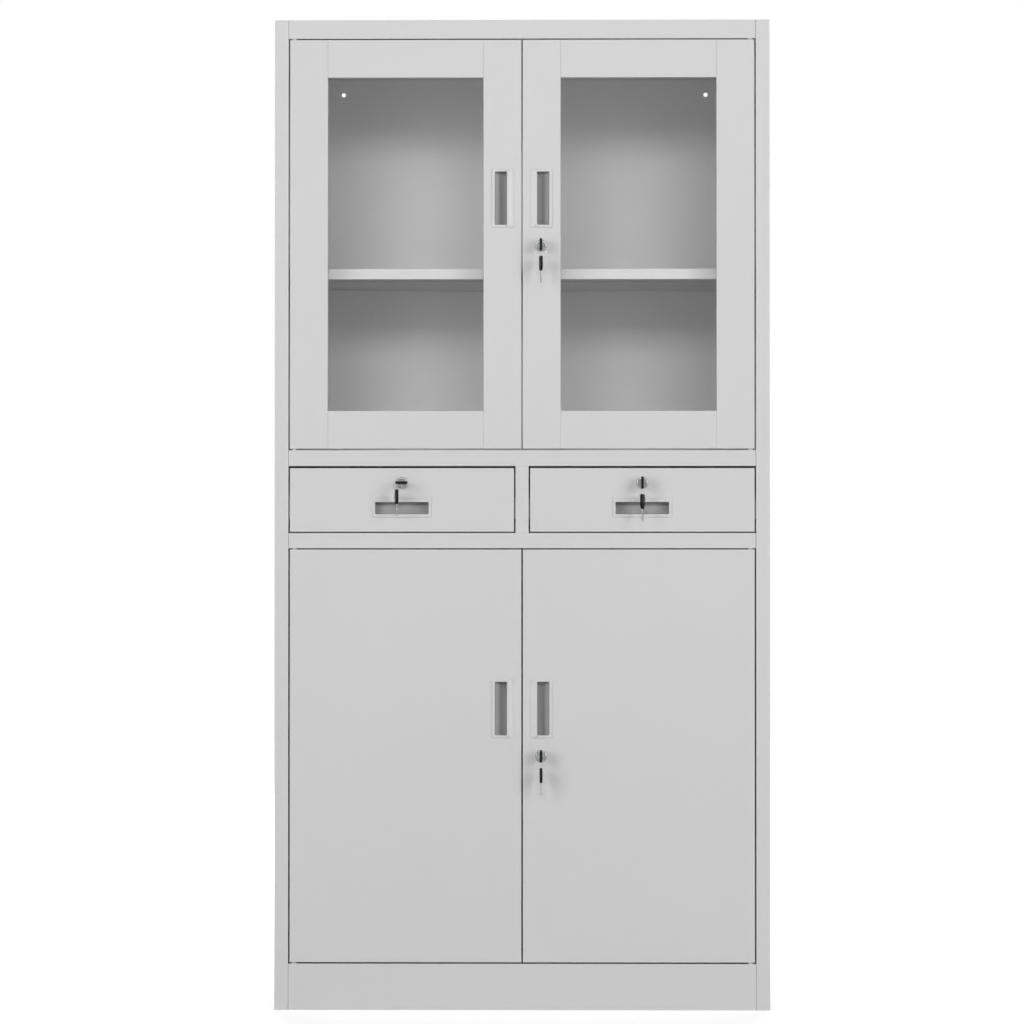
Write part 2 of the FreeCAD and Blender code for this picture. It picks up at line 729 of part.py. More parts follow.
def pull(name, x, z, quarter_turns):
    """A moulded recessed pull: a cup behind the door skin, a rim in front and a raised grip along one side."""
    half_width = s.pull_width / 2
    half_length = s.pull_length / 2
    face = front - s.pull_rim
    cup_back = door_back - s.cup_room
    cup_side = half_width - s.cup_inset
    cup_end = half_length - s.cup_inset
    slot_left = s.pull_grip - half_width
    slot_right = half_width - s.pull_border
    slot_end = half_length - s.pull_end
    piece = Piece(name)
    piece.pad("XZ", face, front, rect(-half_width, half_width, -half_length, half_length))
    piece.soften(
        s.pull_corner,
        {"x": -half_width, "z": -half_length},
        {"x": -half_width, "z": half_length},
        {"x": half_width, "z": -half_length},
        {"x": half_width, "z": half_length},
    )
    piece.soften(s.pull_round, {"y": face})
    piece.pad("XY", -slot_end, slot_end, [
        (s.pull_grip_root - half_width, face),
        (slot_left - s.pull_grip_top, face - s.pull_grip_rise),
        (slot_left, face - s.pull_grip_rise),
        (slot_left, face),
    ])
    piece.pad("XZ", front, cup_back, rect(-cup_side, cup_side, -cup_end, cup_end))
    inside_end = cup_end - s.cup_wall
    piece.pocket("XZ", face, cup_back - s.cup_wall, rect(slot_left, slot_right, -inside_end, inside_end))
    piece.pocket("XZ", front, cup_back - s.cup_wall, rect(
        s.cup_wall - cup_side, cup_side - s.cup_wall, -inside_end, inside_end))
    piece.place(x, 0, z, quarter_turns)
    keep(piece)


# Half the width over a hexagon's flats, as a share of its corner radius.
HEX_FLAT_SHARE = 3 ** 0.5 / 2


def lock(name, x, z):
    """The fixed part of a cam lock: bezel and barrel turned in one, and the nut behind the skin."""
    bezel_front = front - s.bezel_rise
    barrel_back = door_back + s.barrel_room
    inside = s.plug_radius + s.pin_play
    barrel = Piece("barrel").turn("XY", [
        (inside, bezel_front),
        (s.bezel_radius - s.bezel_round, bezel_front),
        (s.bezel_radius, bezel_front + s.bezel_round),
        (s.bezel_radius, front),
        (s.barrel_radius, front),
        (s.barrel_radius, barrel_back - s.rest_gap),
        (inside, barrel_back - s.rest_gap),
    ])
    corner = s.nut_radius
    across = s.nut_radius * HEX_FLAT_SHARE
    nut = Piece("nut").pad(
        "XZ", front + s.sheet, front + s.sheet + s.nut_height,
        [
            (corner, 0),
            (corner / 2, across),
            (-corner / 2, across),
            (-corner, 0),
            (-corner / 2, -across),
            (corner / 2, -across),
        ],
        (0, 0, s.barrel_radius + s.pin_play),
    )
    barrel.place(x, 0, z)
    nut.place(x, 0, z)
    group(name, [barrel, nut])


def cylinder(name, x, z, quarter_turns, cam):
    """The turning part of a cam lock: the plug with its keyway, and the cam that is riveted on its end."""
    plug_front = front - s.bezel_rise - s.plug_rise
    plug_back = door_back + s.barrel_room
    half = s.cam_width / 2
    outlines = {
        "down": rect(-half, half, -s.cam_reach, s.cam_tail),
        "up": rect(-half, half, -s.cam_tail, s.cam_reach),
        "left": rect(-s.cam_reach, s.cam_tail, -half, half),
    }
    tips = {
        "down": ({"x": -half, "z": -s.cam_reach}, {"x": half, "z": -s.cam_reach}),
        "up": ({"x": -half, "z": s.cam_reach}, {"x": half, "z": s.cam_reach}),
        "left": ({"x": -s.cam_reach, "z": -half}, {"x": -s.cam_reach, "z": half}),
    }
    tail = s.tail_side / 2
    hole = tail + s.hole_play
    cam_back = plug_back + s.cam_gauge
    lever = Piece("cam").pad("XZ", plug_back, cam_back, outlines[cam])
    lever.soften(s.cam_round, *tips[cam])
    lever.pocket("XZ", plug_back, cam_back, rect(-hole, hole, -hole, hole))
    plug = Piece("plug").pad("XZ", plug_front, plug_back, (0, 0, s.plug_radius))
    plug.pad("XZ", plug_back, cam_back, rect(-tail, tail, -tail, tail))
    plug.pocket("XZ", plug_front, plug_front + s.keyway_depth, rect(
        -s.keyway_width / 2, s.keyway_width / 2, -s.keyway_height / 2, s.keyway_height / 2))
    rivet = Piece("rivet").pad("XZ", cam_back, cam_back + s.rivet_height, (0, 0, s.rivet_radius))
    for piece in (plug, lever, rivet):
        piece.place(x, 0, z, quarter_turns)
    group(name, [plug, lever, rivet])


def key_head(root, away, middle):
    """Outline of a key head and of the eye near its end, along one axis from its root and across the middle."""
    length = s.key_length * away
    taper = s.key_taper * away
    wide = s.key_width / 2
    narrow = s.key_neck / 2
    end = root + length
    outline = [
        (root, middle - narrow),
        (root + taper, middle - wide),
        (end, middle - wide),
        (end, middle + wide),
        (root + taper, middle + wide),
        (root, middle + narrow),
    ]
    eye_end = end - s.eye_bar * away
    eye_start = eye_end - s.eye_width * away
    eye = [
        (eye_start, middle - s.eye_length / 2),
        (eye_end, middle - s.eye_length / 2),
        (eye_end, middle + s.eye_length / 2),
        (eye_start, middle + s.eye_length / 2),
    ]
    return outline, eye


def key(name, x, z, quarter_turns):
    """The key in a lock: a plastic head in front of the plug and a steel blade in its keyway."""
    root = front - s.bezel_rise - s.plug_rise
    half = s.key_gauge / 2
    outline, eye = key_head(root, -1, 0)
    head = Piece("head").pad("YZ", -half, half, outline)
    end = root - s.key_length
    head.soften(
        s.key_corner,
        {"y": end, "z": -s.key_width / 2},
        {"y": end, "z": s.key_width / 2},
    )
    head.pocket("YZ", -half, half, eye)
    head.soften(s.eye_round, *[{"y": y, "z": z} for y, z in eye])
    head.soften(s.key_edge, {"x": -half}, {"x": half})
    head.place(x, 0, z, quarter_turns)
    blade = Piece("blade").pad("YZ", -s.blade_gauge / 2, s.blade_gauge / 2, [
        (root, -s.blade_width / 2),
        (root + s.blade_length - s.blade_tip, -s.blade_width / 2),
        (root + s.blade_length, 0),
        (root + s.blade_length - s.blade_tip, s.blade_width / 2),
        (root, s.blade_width / 2),
    ])
    blade.place(x, 0, z, quarter_turns)
    group(name, [head, blade])


def spare(name, x, z, twist_share):
    """The spare key: it hangs nearly edge-on from a wire ring through both heads."""
    ring_y = front - s.bezel_rise - s.plug_rise - s.key_length + s.eye_bar + s.eye_width / 2
    ring_middle = s.ring_rise - s.ring_radius
    bar = ring_middle - s.ring_radius + s.ring_wire + s.spare_gap
    head_top = bar + s.eye_bar
    half = s.key_gauge / 2
    ring = doc.addObject("Part::Torus", "ring")
    bind(ring, "Radius1", s.ring_radius)
    bind(ring, "Radius2", s.ring_wire)
    ring.Placement = FreeCAD.Placement(FreeCAD.Vector(), FreeCAD.Rotation(FreeCAD.Vector(1, 0, 0), 90))
    bind(ring, "Placement.Base.x", x)
    bind(ring, "Placement.Base.y", ring_y)
    bind(ring, "Placement.Base.z", z + ring_middle)
    root = head_top - s.key_length
    outline, eye = key_head(root, 1, 0)
    across = [[(v, u) for u, v in points] for points in (outline, eye)]
    head = Piece("spare_head").pad("YZ", -half, half, across[0])
    head.soften(
        s.key_corner,
        {"z": head_top, "y": -s.key_width / 2},
        {"z": head_top, "y": s.key_width / 2},
    )
    head.pocket("YZ", -half, half, across[1])
    head.soften(s.eye_round, *[{"y": y, "z": z} for y, z in across[1]])
    head.soften(s.key_edge, {"x": -half}, {"x": half})
    blade = Piece("spare_blade").pad("YZ", -s.blade_gauge / 2, s.blade_gauge / 2, [
        (-s.blade_width / 2, root),
        (-s.blade_width / 2, root - s.blade_length + s.blade_tip),
        (0, root - s.blade_length),
        (s.blade_width / 2, root - s.blade_length + s.blade_tip),
        (s.blade_width / 2, root),
    ])
    for piece in (head, blade):
        piece.place(x, ring_y, z)
        piece.twist(s.spare_twist * twist_share)
    group(name, [head, blade], ring)


def lock_set(stem, x, z, quarter_turns, cam, twist_share):
    """A cam lock with its key and the spare that hangs from it."""
    lock(stem + "_lock_housing", x, z)
    cylinder(stem + "_lock_cylinder", x, z, quarter_turns, cam)
    key(stem + "_key", x, z, quarter_turns)
    bar = (s.eye_length + s.key_width) / 4
    spare(stem + "_spare_key", x - bar * quarter_turns, z - bar * (1 - quarter_turns), twist_share)


def saddles(x, top_level):
    """Two guides of a slide bolt on the back of a door."""
    pieces = []
    for drop in (s.saddle_drop, s.saddle_drop + s.saddle_pitch):
        upper = top_level - drop
        saddle = Piece("saddle").pad("XY", upper - s.saddle_height, upper, rect(
            x - s.saddle_width / 2, x + s.saddle_width / 2, door_back, door_back + s.saddle_depth),
            (x, door_back + s.bolt_setback, s.bolt_radius + s.pin_play))
        pieces.append(saddle)
    return pieces


def bolt(name, x, top_level):
    """A steel rod with a knob, which slides up behind the rail or header over the door."""
    upper = top_level - s.bolt_drop
    lower = upper - s.bolt_length
    axis_y = door_back + s.bolt_setback
    piece = Piece(name).pad("XY", lower, upper, (x, axis_y, s.bolt_radius))
    piece.pad("XZ", axis_y, axis_y + s.bolt_radius + s.bolt_knob_reach,
              (x, lower + s.bolt_knob_rise, s.bolt_knob_radius))
    keep(piece)


bolt_x = -(s.side_gap / 2 + s.door_lip / 2)

# Glazed doors. Four folded members round a pane that is held from behind by steel strips.
glazed_bottom = upper_deck_top + s.door_bottom_gap
glazed_top = header_bottom - s.door_top_gap
meeting = s.side_gap / 2
pull_level = glazed_top - s.pull_drop
lock_level = pull_level - s.lock_drop
for stem, hand in (("upper_left", LEFT), ("upper_right", RIGHT)):
    window = (meeting + s.frame_width, door_edge - s.frame_width)
    hinge_stile = pan(Piece("hinge_stile"), *span(hand, window[1], door_edge), glazed_bottom, glazed_top, s.door_lip)
    pin_holes(hinge_stile, hand, glazed_bottom, glazed_top)
    meeting_stile = pan(Piece("meeting_stile"), *span(hand, meeting, window[0]), glazed_bottom, glazed_top, s.door_lip)
    pull_hole(meeting_stile, s.pull_offset * hand, pull_level, True)
    members = [hinge_stile, meeting_stile]
    for bottom in (glazed_bottom, glazed_top - s.frame_width):
        members.append(pan(Piece("rail"), *span(hand, *window), bottom, bottom + s.frame_width, s.door_lip))
    if hand == RIGHT:
        round_hole(meeting_stile, s.lock_offset, lock_level, s.barrel_radius + s.hole_play)
    else:
        members.extend(saddles(bolt_x, glazed_top))
    group(stem + "_door_frame", members)

    pane = (window[0] - s.glass_overlap, window[1] + s.glass_overlap)
    pane_bottom = glazed_bottom + s.frame_width - s.glass_overlap
    pane_top = glazed_top - s.frame_width + s.glass_overlap
    glass_back = door_back + s.glass_thickness
    keep(Piece(stem + "_glass").pad("XZ", door_back, glass_back, rect(*span(hand, *pane), pane_bottom, pane_top)))

    strips = []
    cover_back = glass_back + s.retainer_gauge
    for level, away in ((pane_bottom, -1), (pane_top, 1)):
        strips.append(Piece("cross_strip").pad("YZ", *span(hand, *pane), [
            (door_back, level),
            (door_back, level + s.retainer_foot * away),
            (cover_back, level + s.retainer_foot * away),
            (cover_back, level - s.retainer_cover * away),
            (glass_back, level - s.retainer_cover * away),
            (glass_back, level),
        ]))
    for level, away in zip(span(hand, *pane), (-1, 1)):
        strips.append(Piece("side_strip").pad(
            "XY", pane_bottom + s.retainer_cover, pane_top - s.retainer_cover, [
                (level, door_back),
                (level + s.retainer_foot * away, door_back),
                (level + s.retainer_foot * away, cover_back),
                (level - s.retainer_cover * away, cover_back),
                (level - s.retainer_cover * away, glass_back),
                (level, glass_back),
            ]))
    group(stem + "_glass_retainers", strips)
    pins(stem + "_pivot_pins", hand, glazed_bottom, glazed_top)
    pull(stem + "_pull", s.pull_offset * hand, pull_level, 0 if hand == RIGHT else 2)
lock_set("upper_door", s.lock_offset, lock_level, 0, "down", 0.6)
bolt("upper_left_bolt", bolt_x, glazed_top)

# Plain doors. Folded pans with a hat channel behind the skin.
plain_bottom = s.plinth_height + s.door_bottom_gap
plain_top = lower_rail_bottom - s.door_top_gap
pull_level = plain_top - s.pull_drop
lock_level = pull_level - s.lock_drop
for stem, hand in (("lower_left", LEFT), ("lower_right", RIGHT)):
    ends = span(hand, meeting, door_edge)
    skin = pan(Piece("door_pan"), *ends, plain_bottom, plain_top, s.door_lip)
    pin_holes(skin, hand, plain_bottom, plain_top)
    pull_hole(skin, s.pull_offset * hand, pull_level, True)
    solids = [skin]
    if hand == RIGHT:
        round_hole(skin, s.lock_offset, lock_level, s.barrel_radius + s.hole_play)
    else:
        solids.extend(saddles(bolt_x, plain_top))
    group(stem + "_door_skin", solids)

    middle = (meeting + door_edge) / 2 * hand
    crest = s.stiffener_width / 2 - s.stiffener_foot
    inner_face = front + s.sheet
    crown = door_back - s.sheet * 2
    keep(Piece(stem + "_stiffener").pad(
        "XY", plain_bottom + s.sheet + s.joint_gap, plain_top - s.sheet - s.joint_gap, fold([
            (middle - s.stiffener_width / 2, inner_face),
            (middle - crest, inner_face),
            (middle - crest, crown),
            (middle + crest, crown),
            (middle + crest, inner_face),
            (middle + s.stiffener_width / 2, inner_face),
        ], s.sheet, 1)))
    pins(stem + "_pivot_pins", hand, plain_bottom, plain_top)
    pull(stem + "_pull", s.pull_offset * hand, pull_level, 0 if hand == RIGHT else 2)
lock_set("lower_door", s.lock_offset, lock_level, 0, "down", 0.2)
bolt("lower_left_bolt", bolt_x, plain_top)

# Drawers. A folded front on a tray of three welded sheets that runs on two channels.
pull_level = drawer_bottom + s.drawer_pull_rise
lock_level = drawer_bottom + s.drawer_lock_rise
for stem, hand in (("left_drawer", LEFT), ("right_drawer", RIGHT)):
    ends = span(hand, drawer_inner, drawer_outer)
    middle = drawer_middle * hand
    face = pan(Piece(stem + "_front"), *ends, drawer_bottom, drawer_top, s.door_lip)
    pull_hole(face, middle, pull_level, False)
    round_hole(face, middle, lock_level, s.barrel_radius + s.hole_play)
    keep(face)

    box_inner = post_half + s.runner_space
    box_outer = column - s.runner_space
    ends = span(hand, box_inner, box_outer)
    floor = drawer_bottom + s.box_rise
    brim = floor + s.box_height
    far = door_back + s.box_length
    tray = Piece("tray").pad("XZ", door_back + s.sheet, far - s.sheet, fold([
        (ends[0], brim),
        (ends[0], floor),
        (ends[1], floor),
        (ends[1], brim),
    ], s.sheet, 1))
    near_wall = Piece("near_wall").pad(
        "XZ", door_back, door_back + s.sheet,
        rect(*ends, floor, brim), (middle, lock_level, s.barrel_radius + s.joint_gap))
    far_wall = Piece("far_wall").pad("XZ", far - s.sheet, far, rect(*ends, floor, brim))
    group(stem + "_box", [tray, near_wall, far_wall])

    channels = []
    low = runner_bottom + s.runner_gauge + s.runner_play
    high = runner_top - s.runner_gauge - s.runner_play
    for mount, towards in ((ends[0], -1), (ends[1], 1)):
        tip = mount + s.runner_fold * towards
        channels.append(Piece("drawer_runner").pad("XZ", door_back + s.joint_gap, far, fold([
            (tip, low),
            (mount, low),
            (mount, high),
            (tip, high),
        ], s.runner_gauge, -1 if towards == 1 else 1)))
    group(stem + "_runners", channels)
    pull(stem + "_pull", middle, pull_level, 1)
lock_set("left_drawer", -drawer_middle, lock_level, 1, "up", 0.7)
lock_set("right_drawer", drawer_middle, lock_level, 0, "left", -1.0)

doc.recompute()

# Every feature must have built, and every node must be a sound shape, before the files are written.
for thing in doc.Objects:
    if "Invalid" in thing.State or "Error" in thing.State:
        raise RuntimeError("%s did not build: %s" % (thing.Label, thing.State))
os.makedirs("parts", exist_ok=True)
for node in nodes:
    shape = node.Shape
    if shape.isNull() or not shape.isValid() or not shape.Solids:
        raise RuntimeError("%s is not a sound solid" % node.Label)
    shape.exportStep("parts/%s.step" % node.Label)
print("%d nodes, %d solids" % (len(nodes), sum(len(node.Shape.Solids) for node in nodes)))
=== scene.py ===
import math

import bmesh
import bpy
import numpy as np
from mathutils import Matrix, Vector


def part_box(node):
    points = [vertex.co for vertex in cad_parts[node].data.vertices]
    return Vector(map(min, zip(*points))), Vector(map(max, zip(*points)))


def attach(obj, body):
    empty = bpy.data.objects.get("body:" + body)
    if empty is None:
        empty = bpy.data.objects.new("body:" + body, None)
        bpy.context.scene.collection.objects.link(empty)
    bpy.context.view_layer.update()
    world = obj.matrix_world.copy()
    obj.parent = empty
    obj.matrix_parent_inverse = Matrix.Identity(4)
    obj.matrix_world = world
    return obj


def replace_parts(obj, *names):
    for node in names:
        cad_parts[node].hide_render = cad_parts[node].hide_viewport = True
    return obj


# Metal office cabinet, dressed and lit. Lengths are in metres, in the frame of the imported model.
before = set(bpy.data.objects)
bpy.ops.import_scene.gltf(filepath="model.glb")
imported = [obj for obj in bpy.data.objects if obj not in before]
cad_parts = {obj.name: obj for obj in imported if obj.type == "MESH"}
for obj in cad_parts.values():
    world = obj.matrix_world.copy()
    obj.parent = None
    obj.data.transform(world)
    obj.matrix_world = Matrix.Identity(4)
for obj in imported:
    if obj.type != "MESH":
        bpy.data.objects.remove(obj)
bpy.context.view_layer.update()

# Case: side panels, top, base, two decks, back and post, folded from 0.8 mm sheet steel.
# The sheets are spot welded where they meet and stand on the floor on the edge of the base.
# All of them have one light grey powder coat, baked on after forming.
CASE_SHEETS = (
    "side_panel_left", "side_panel_right", "top_panel", "back_panel", "base_panel",
    "lower_deck", "upper_deck", "centre_post",
)
COAT_GREY = "#d0d0d0"
COAT_GREY_THIN = "#cccccc"
COAT_IOR = 1.5
COAT_GLOSSIEST = 0.40
COAT_DULLEST = 0.54
COAT_CLOUD = 0.35
COAT_PEEL = 0.006
COAT_PEEL_HEIGHT = 0.00006
COAT_WAVE = 0.24
COAT_WAVE_HEIGHT = 0.0004
COAT_SMEAR = 0.03


def linear(code):
    """A hex colour as linear light: c / 12.92 up to 0.04045, and ((c + 0.055) / 1.055) ** 2.4 above."""
    channels = np.array([int(code[i:i + 2], 16) for i in (1, 3, 5)]) / 255
    curved = np.where(channels <= 0.04045, channels / 12.92, ((channels + 0.055) / 1.055) ** 2.4)
    return (*curved.tolist(), 1.0)


def add(tree, kind, inputs=None, **settings):
    """Add one shader node with its settings, and set or link its inputs, by name or by number."""
    made = tree.nodes.new("ShaderNode" + kind)
    for name, value in settings.items():
        setattr(made, name, value)
    for name, value in (inputs or {}).items():
        if isinstance(value, bpy.types.NodeSocket):
            tree.links.new(value, made.inputs[name])
        else:
            made.inputs[name].default_value = value
    return made


def blank_material(name):
    """A material with an empty tree, and the Object coordinates that its patterns read."""
    material = bpy.data.materials.new(name)
    material.use_nodes = True
    material.node_tree.nodes.clear()
    place = add(material.node_tree, "TexCoord").outputs["Object"]
    return material, material.node_tree, place


def powder_coat():
    """Polyester powder coat on steel: semi-matt, with a faint orange peel and slow waves of the thin sheet.
    The peel is drawn 6 mm wide, about three times the real one, so that it shows at all."""
    material, tree, place = blank_material("powder_coated_steel")
    cloud = add(tree, "TexNoise", {"Vector": place, "Scale": 1 / COAT_CLOUD, "Detail": 3.0})
    colour = add(tree, "ValToRGB", {"Fac": cloud.outputs["Fac"]})
    colour.color_ramp.elements[0].color = linear(COAT_GREY_THIN)
    colour.color_ramp.elements[1].color = linear(COAT_GREY)
    smear = add(tree, "TexNoise", {"Vector": place, "Scale": 1 / COAT_SMEAR, "Detail": 4.0})
    shine = add(tree, "MapRange", {
        "Value": smear.outputs["Fac"], "To Min": COAT_GLOSSIEST, "To Max": COAT_DULLEST})
    wave = add(tree, "TexNoise", {"Vector": place, "Scale": 1 / COAT_WAVE, "Detail": 0.0})
    bent = add(tree, "Bump", {"Height": wave.outputs["Fac"], "Distance": COAT_WAVE_HEIGHT})
    peel = add(tree, "TexNoise", {"Vector": place, "Scale": 1 / COAT_PEEL, "Detail": 1.0})
    skin = add(tree, "Bump", {
        "Height": peel.outputs["Fac"], "Distance": COAT_PEEL_HEIGHT, "Normal": bent.outputs["Normal"]})
    shader = add(tree, "BsdfPrincipled", {
        "Base Color": colour.outputs["Color"], "Roughness": shine.outputs["Result"],
        "Normal": skin.outputs["Normal"], "IOR": COAT_IOR})
    add(tree, "OutputMaterial", {"Surface": shader.outputs["BSDF"]})
    return material


def dress(material, names):
    """Give CAD nodes a finish."""
    for name in names:
        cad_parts[name].material_slots[0].material = material


coat = powder_coat()
dress(coat, CASE_SHEETS)

# Shelving: slotted uprights on the side panels, bent clips in their slots and a shelf in each cupboard.
# Uprights and shelves are folded from sheet steel and coated like the case.
# The clips are pressed from strip and plated with bright zinc.
ZINC_PALE = "#c9cacc"
ZINC_DARK = "#a9abae"
ZINC_GLOSSIEST = 0.28
ZINC_DULLEST = 0.42
ZINC_SPANGLE = 0.004
ZINC_GRAIN = 0.0006
ZINC_GRAIN_HEIGHT = 0.000004


def zinc_plate():
    """Bright zinc plate on pressed steel: a pale metal whose crystals differ a little in tone and gloss.
    The fine grain is drawn 0.6 mm wide, coarser than the real one, so that it shows close up."""
    material, tree, place = blank_material("zinc_plated_steel")
    spangle = add(tree, "TexVoronoi", {"Vector": place, "Scale": 1 / ZINC_SPANGLE})
    colour = add(tree, "ValToRGB", {"Fac": spangle.outputs["Color"]})
    colour.color_ramp.elements[0].color = linear(ZINC_DARK)
    colour.color_ramp.elements[1].color = linear(ZINC_PALE)
    shine = add(tree, "MapRange", {
        "Value": spangle.outputs["Color"], "To Min": ZINC_GLOSSIEST, "To Max": ZINC_DULLEST})
    grain = add(tree, "TexNoise", {"Vector": place, "Scale": 1 / ZINC_GRAIN, "Detail": 2.0})
    skin = add(tree, "Bump", {"Height": grain.outputs["Fac"], "Distance": ZINC_GRAIN_HEIGHT})
    shader = add(tree, "BsdfPrincipled", {
        "Base Color": colour.outputs["Color"], "Roughness": shine.outputs["Result"],
        "Normal": skin.outputs["Normal"], "Metallic": 1.0})
    add(tree, "OutputMaterial", {"Surface": shader.outputs["BSDF"]})
    return material


zinc = zinc_plate()
dress(coat, ("shelf_uprights", "lower_shelf", "upper_shelf"))
dress(zinc, ("shelf_clips",))

# Hinges: headed steel pins in the ends of the doors, turning in flanged bushes of natural nylon.
# The bushes are pressed into the sheets above and below and show as pale specks in the gaps.
DOORS = ("upper_left", "upper_right", "lower_left", "lower_right")
NYLON_WHITE = "#c8c8c4"
NYLON_CLOUDY = "#bababa"
NYLON_IOR = 1.53
NYLON_GLOSSIEST = 0.45
NYLON_DULLEST = 0.6
NYLON_FLOW = 0.003
NYLON_GRAIN_HEIGHT = 0.00002


def nylon():
    """Moulded nylon: milky, with faint flow marks and a dull skin."""
    material, tree, place = blank_material("natural_nylon")
    flow = add(tree, "TexNoise", {"Vector": place, "Scale": 1 / NYLON_FLOW, "Detail": 2.0})
    colour = add(tree, "ValToRGB", {"Fac": flow.outputs["Fac"]})
    colour.color_ramp.elements[0].color = linear(NYLON_CLOUDY)
    colour.color_ramp.elements[1].color = linear(NYLON_WHITE)
    shine = add(tree, "MapRange", {
        "Value": flow.outputs["Fac"], "To Min": NYLON_GLOSSIEST, "To Max": NYLON_DULLEST})
    skin = add(tree, "Bump", {"Height": flow.outputs["Fac"], "Distance": NYLON_GRAIN_HEIGHT})
    shader = add(tree, "BsdfPrincipled", {
        "Base Color": colour.outputs["Color"], "Roughness": shine.outputs["Result"],
        "Normal": skin.outputs["Normal"], "IOR": NYLON_IOR})
    add(tree, "OutputMaterial", {"Surface": shader.outputs["BSDF"]})
    return material


dress(nylon(), ("hinge_bushes",))
dress(zinc, [door + "_pivot_pins" for door in DOORS])

# Glazed doors: four folded and coated members round a pane of 4 mm float glass.
# The pane lies against the back of the frame, and coated steel strips hold it there.
GLASS_TINT = "#fefefe"
GLASS_IOR = 1.5
GLASS_CLEAREST = 0.0
GLASS_DULLEST = 0.02
GLASS_FILM = 0.12


def float_glass():
    """Clear float glass: smooth, with a hardly visible film. Lamp light, and light that the case scatters,
    go straight through it, so that the cupboard behind is lit."""
    material, tree, place = blank_material("clear_float_glass")
    film = add(tree, "TexNoise", {"Vector": place, "Scale": 1 / GLASS_FILM, "Detail": 3.0})
    shine = add(tree, "MapRange", {
        "Value": film.outputs["Fac"], "To Min": GLASS_CLEAREST, "To Max": GLASS_DULLEST})
    shader = add(tree, "BsdfPrincipled", {
        "Base Color": linear(GLASS_TINT), "Roughness": shine.outputs["Result"],
        "IOR": GLASS_IOR, "Transmission Weight": 1.0})
    open_pane = add(tree, "BsdfTransparent", {"Color": linear(GLASS_TINT)})
    ray = add(tree, "LightPath").outputs
    light = add(tree, "Math", {0: ray["Is Shadow Ray"], 1: ray["Is Diffuse Ray"]}, operation="MAXIMUM")
    pane = add(tree, "MixShader", {
        "Fac": light.outputs["Value"], 1: shader.outputs["BSDF"], 2: open_pane.outputs["BSDF"]})
    add(tree, "OutputMaterial", {"Surface": pane.outputs["Shader"]})
    return material


glass = float_glass()
for door in ("upper_left", "upper_right"):
    dress(coat, (door + "_door_frame", door + "_glass_retainers"))
    dress(glass, (door + "_glass",))

# Plain doors: pans of coated sheet steel, folded back on all four sides.
# A hat channel welded behind the skin of each keeps it stiff.
for door in ("lower_left", "lower_right"):
    dress(coat, (door + "_door_skin", door + "_stiffener"))

# Drawers: a folded front on a welded tray, both coated.
# Zinc-plated channels on the trays run in channels on the case.
DRAWERS = ("left_drawer", "right_drawer")
for drawer in DRAWERS:
    dress(coat, (drawer + "_front", drawer + "_box"))
    dress(zinc, (drawer + "_runners",))
dress(coat, ("runner_brackets",))
dress(zinc, ("cabinet_runners",))

# Slide bolts: zinc-plated steel rods with a knob, inside the two doors that have no lock.
# Each slides up in two guides on the back of its door, behind the header or the lower rail.
dress(zinc, ("upper_left_bolt", "lower_left_bolt"))

# Recessed pulls: a rim of grey ABS lies on the skin of the door or drawer.
# One side of it rises to a grip.
# A cup is snapped to the rim through a cut-out of the skin, and gives room for the fingers.
# Its grey is darker than the rim's: painted shade of the deep recess.
PULLS = (
    # node, body, and the quarter turns that bring the grip from the left side to its place
    ("upper_left_pull", "upper_left_door", 2),
    ("upper_right_pull", "upper_right_door", 0),
    ("lower_left_pull", "lower_left_door", 2),
    ("lower_right_pull", "lower_right_door", 0),
    ("left_drawer_pull", "left_drawer", 1),
    ("right_drawer_pull", "right_drawer", 1),
)
RIM_GREY = "#d0d0d0"
RIM_GREY_DULL = "#cacaca"
# the cup's two greys are darker than the rim's, as painted shade of the deep recess
CUP_GREY_PAINTED_SHADE = "#a6a6a6"
CUP_GREY_DULL_PAINTED_SHADE = "#9e9e9e"
ABS_IOR = 1.53
ABS_GLOSSIEST = 0.32
ABS_DULLEST = 0.46
ABS_FLOW = 0.03
ABS_GRAIN = 0.0012
ABS_GRAIN_HEIGHT = 0.00003
RIM_HEIGHT = 0.0022
RIM_ROUND = 0.0009
RIM_CORNER = 0.003
GRIP_WIDTH = 0.0125
GRIP_ROOT = 0.0018
GRIP_TOP = 0.0025
GRIP_RISE = 0.002
GRIP_SINK = 0.0012
GRIP_FADE = 0.004
SLOT_BORDER = 0.0055
SLOT_EDGE = 0.0006
SLOT_CORNER = 0.0012
CUP_INSET = 0.0034
CUP_WALL = 0.0016
CUP_ROUND = 0.0015
CUP_FILLET = 0.003
CUP_SPINE = 0.0006
CUP_SCOOP_SHARE = 0.65
FACE_LOOPS = 8
ARC_POINTS = 7
SIDE_POINTS = 14
ROUND_STEPS = 6
QUARTER = np.linspace(0, math.pi / 2, ROUND_STEPS)
EDGE_CREASE_DEGREES = 40
# how the left edge, the right edge and the two ends of a loop move when it grows
APART = np.array([-1, 1, 1])


def rounded_loop(left, right, bottom, top, corner):
    """Points round a rectangle: quarter circles at its corners, and evenly spaced points between them."""
    turn = np.linspace(0, math.pi / 2, ARC_POINTS) + np.arange(-1, 3)[:, None] * math.pi / 2
    across = np.array([right - corner, right - corner, left + corner, left + corner])
    up = np.array([bottom + corner, top - corner, top - corner, bottom + corner])
    arcs = np.stack([across[:, None] + corner * np.cos(turn), up[:, None] + corner * np.sin(turn)], axis=-1)
    share = np.linspace(0, 1, SIDE_POINTS + 2)[1:-1, None]
    start = arcs[:, -1:]
    end = np.roll(arcs[:, :1], -1, axis=0)
    return np.concatenate([arcs, start + (end - start) * share], axis=1).reshape(-1, 2)


def level_loop(left, right, end, corner, depth):
    """A rounded rectangle from left to right and from minus end to end, at one depth behind the skin."""
    flat = rounded_loop(left, right, -end, end, corner)
    return np.column_stack([flat[:, 0], np.full(len(flat), depth), flat[:, 1]])


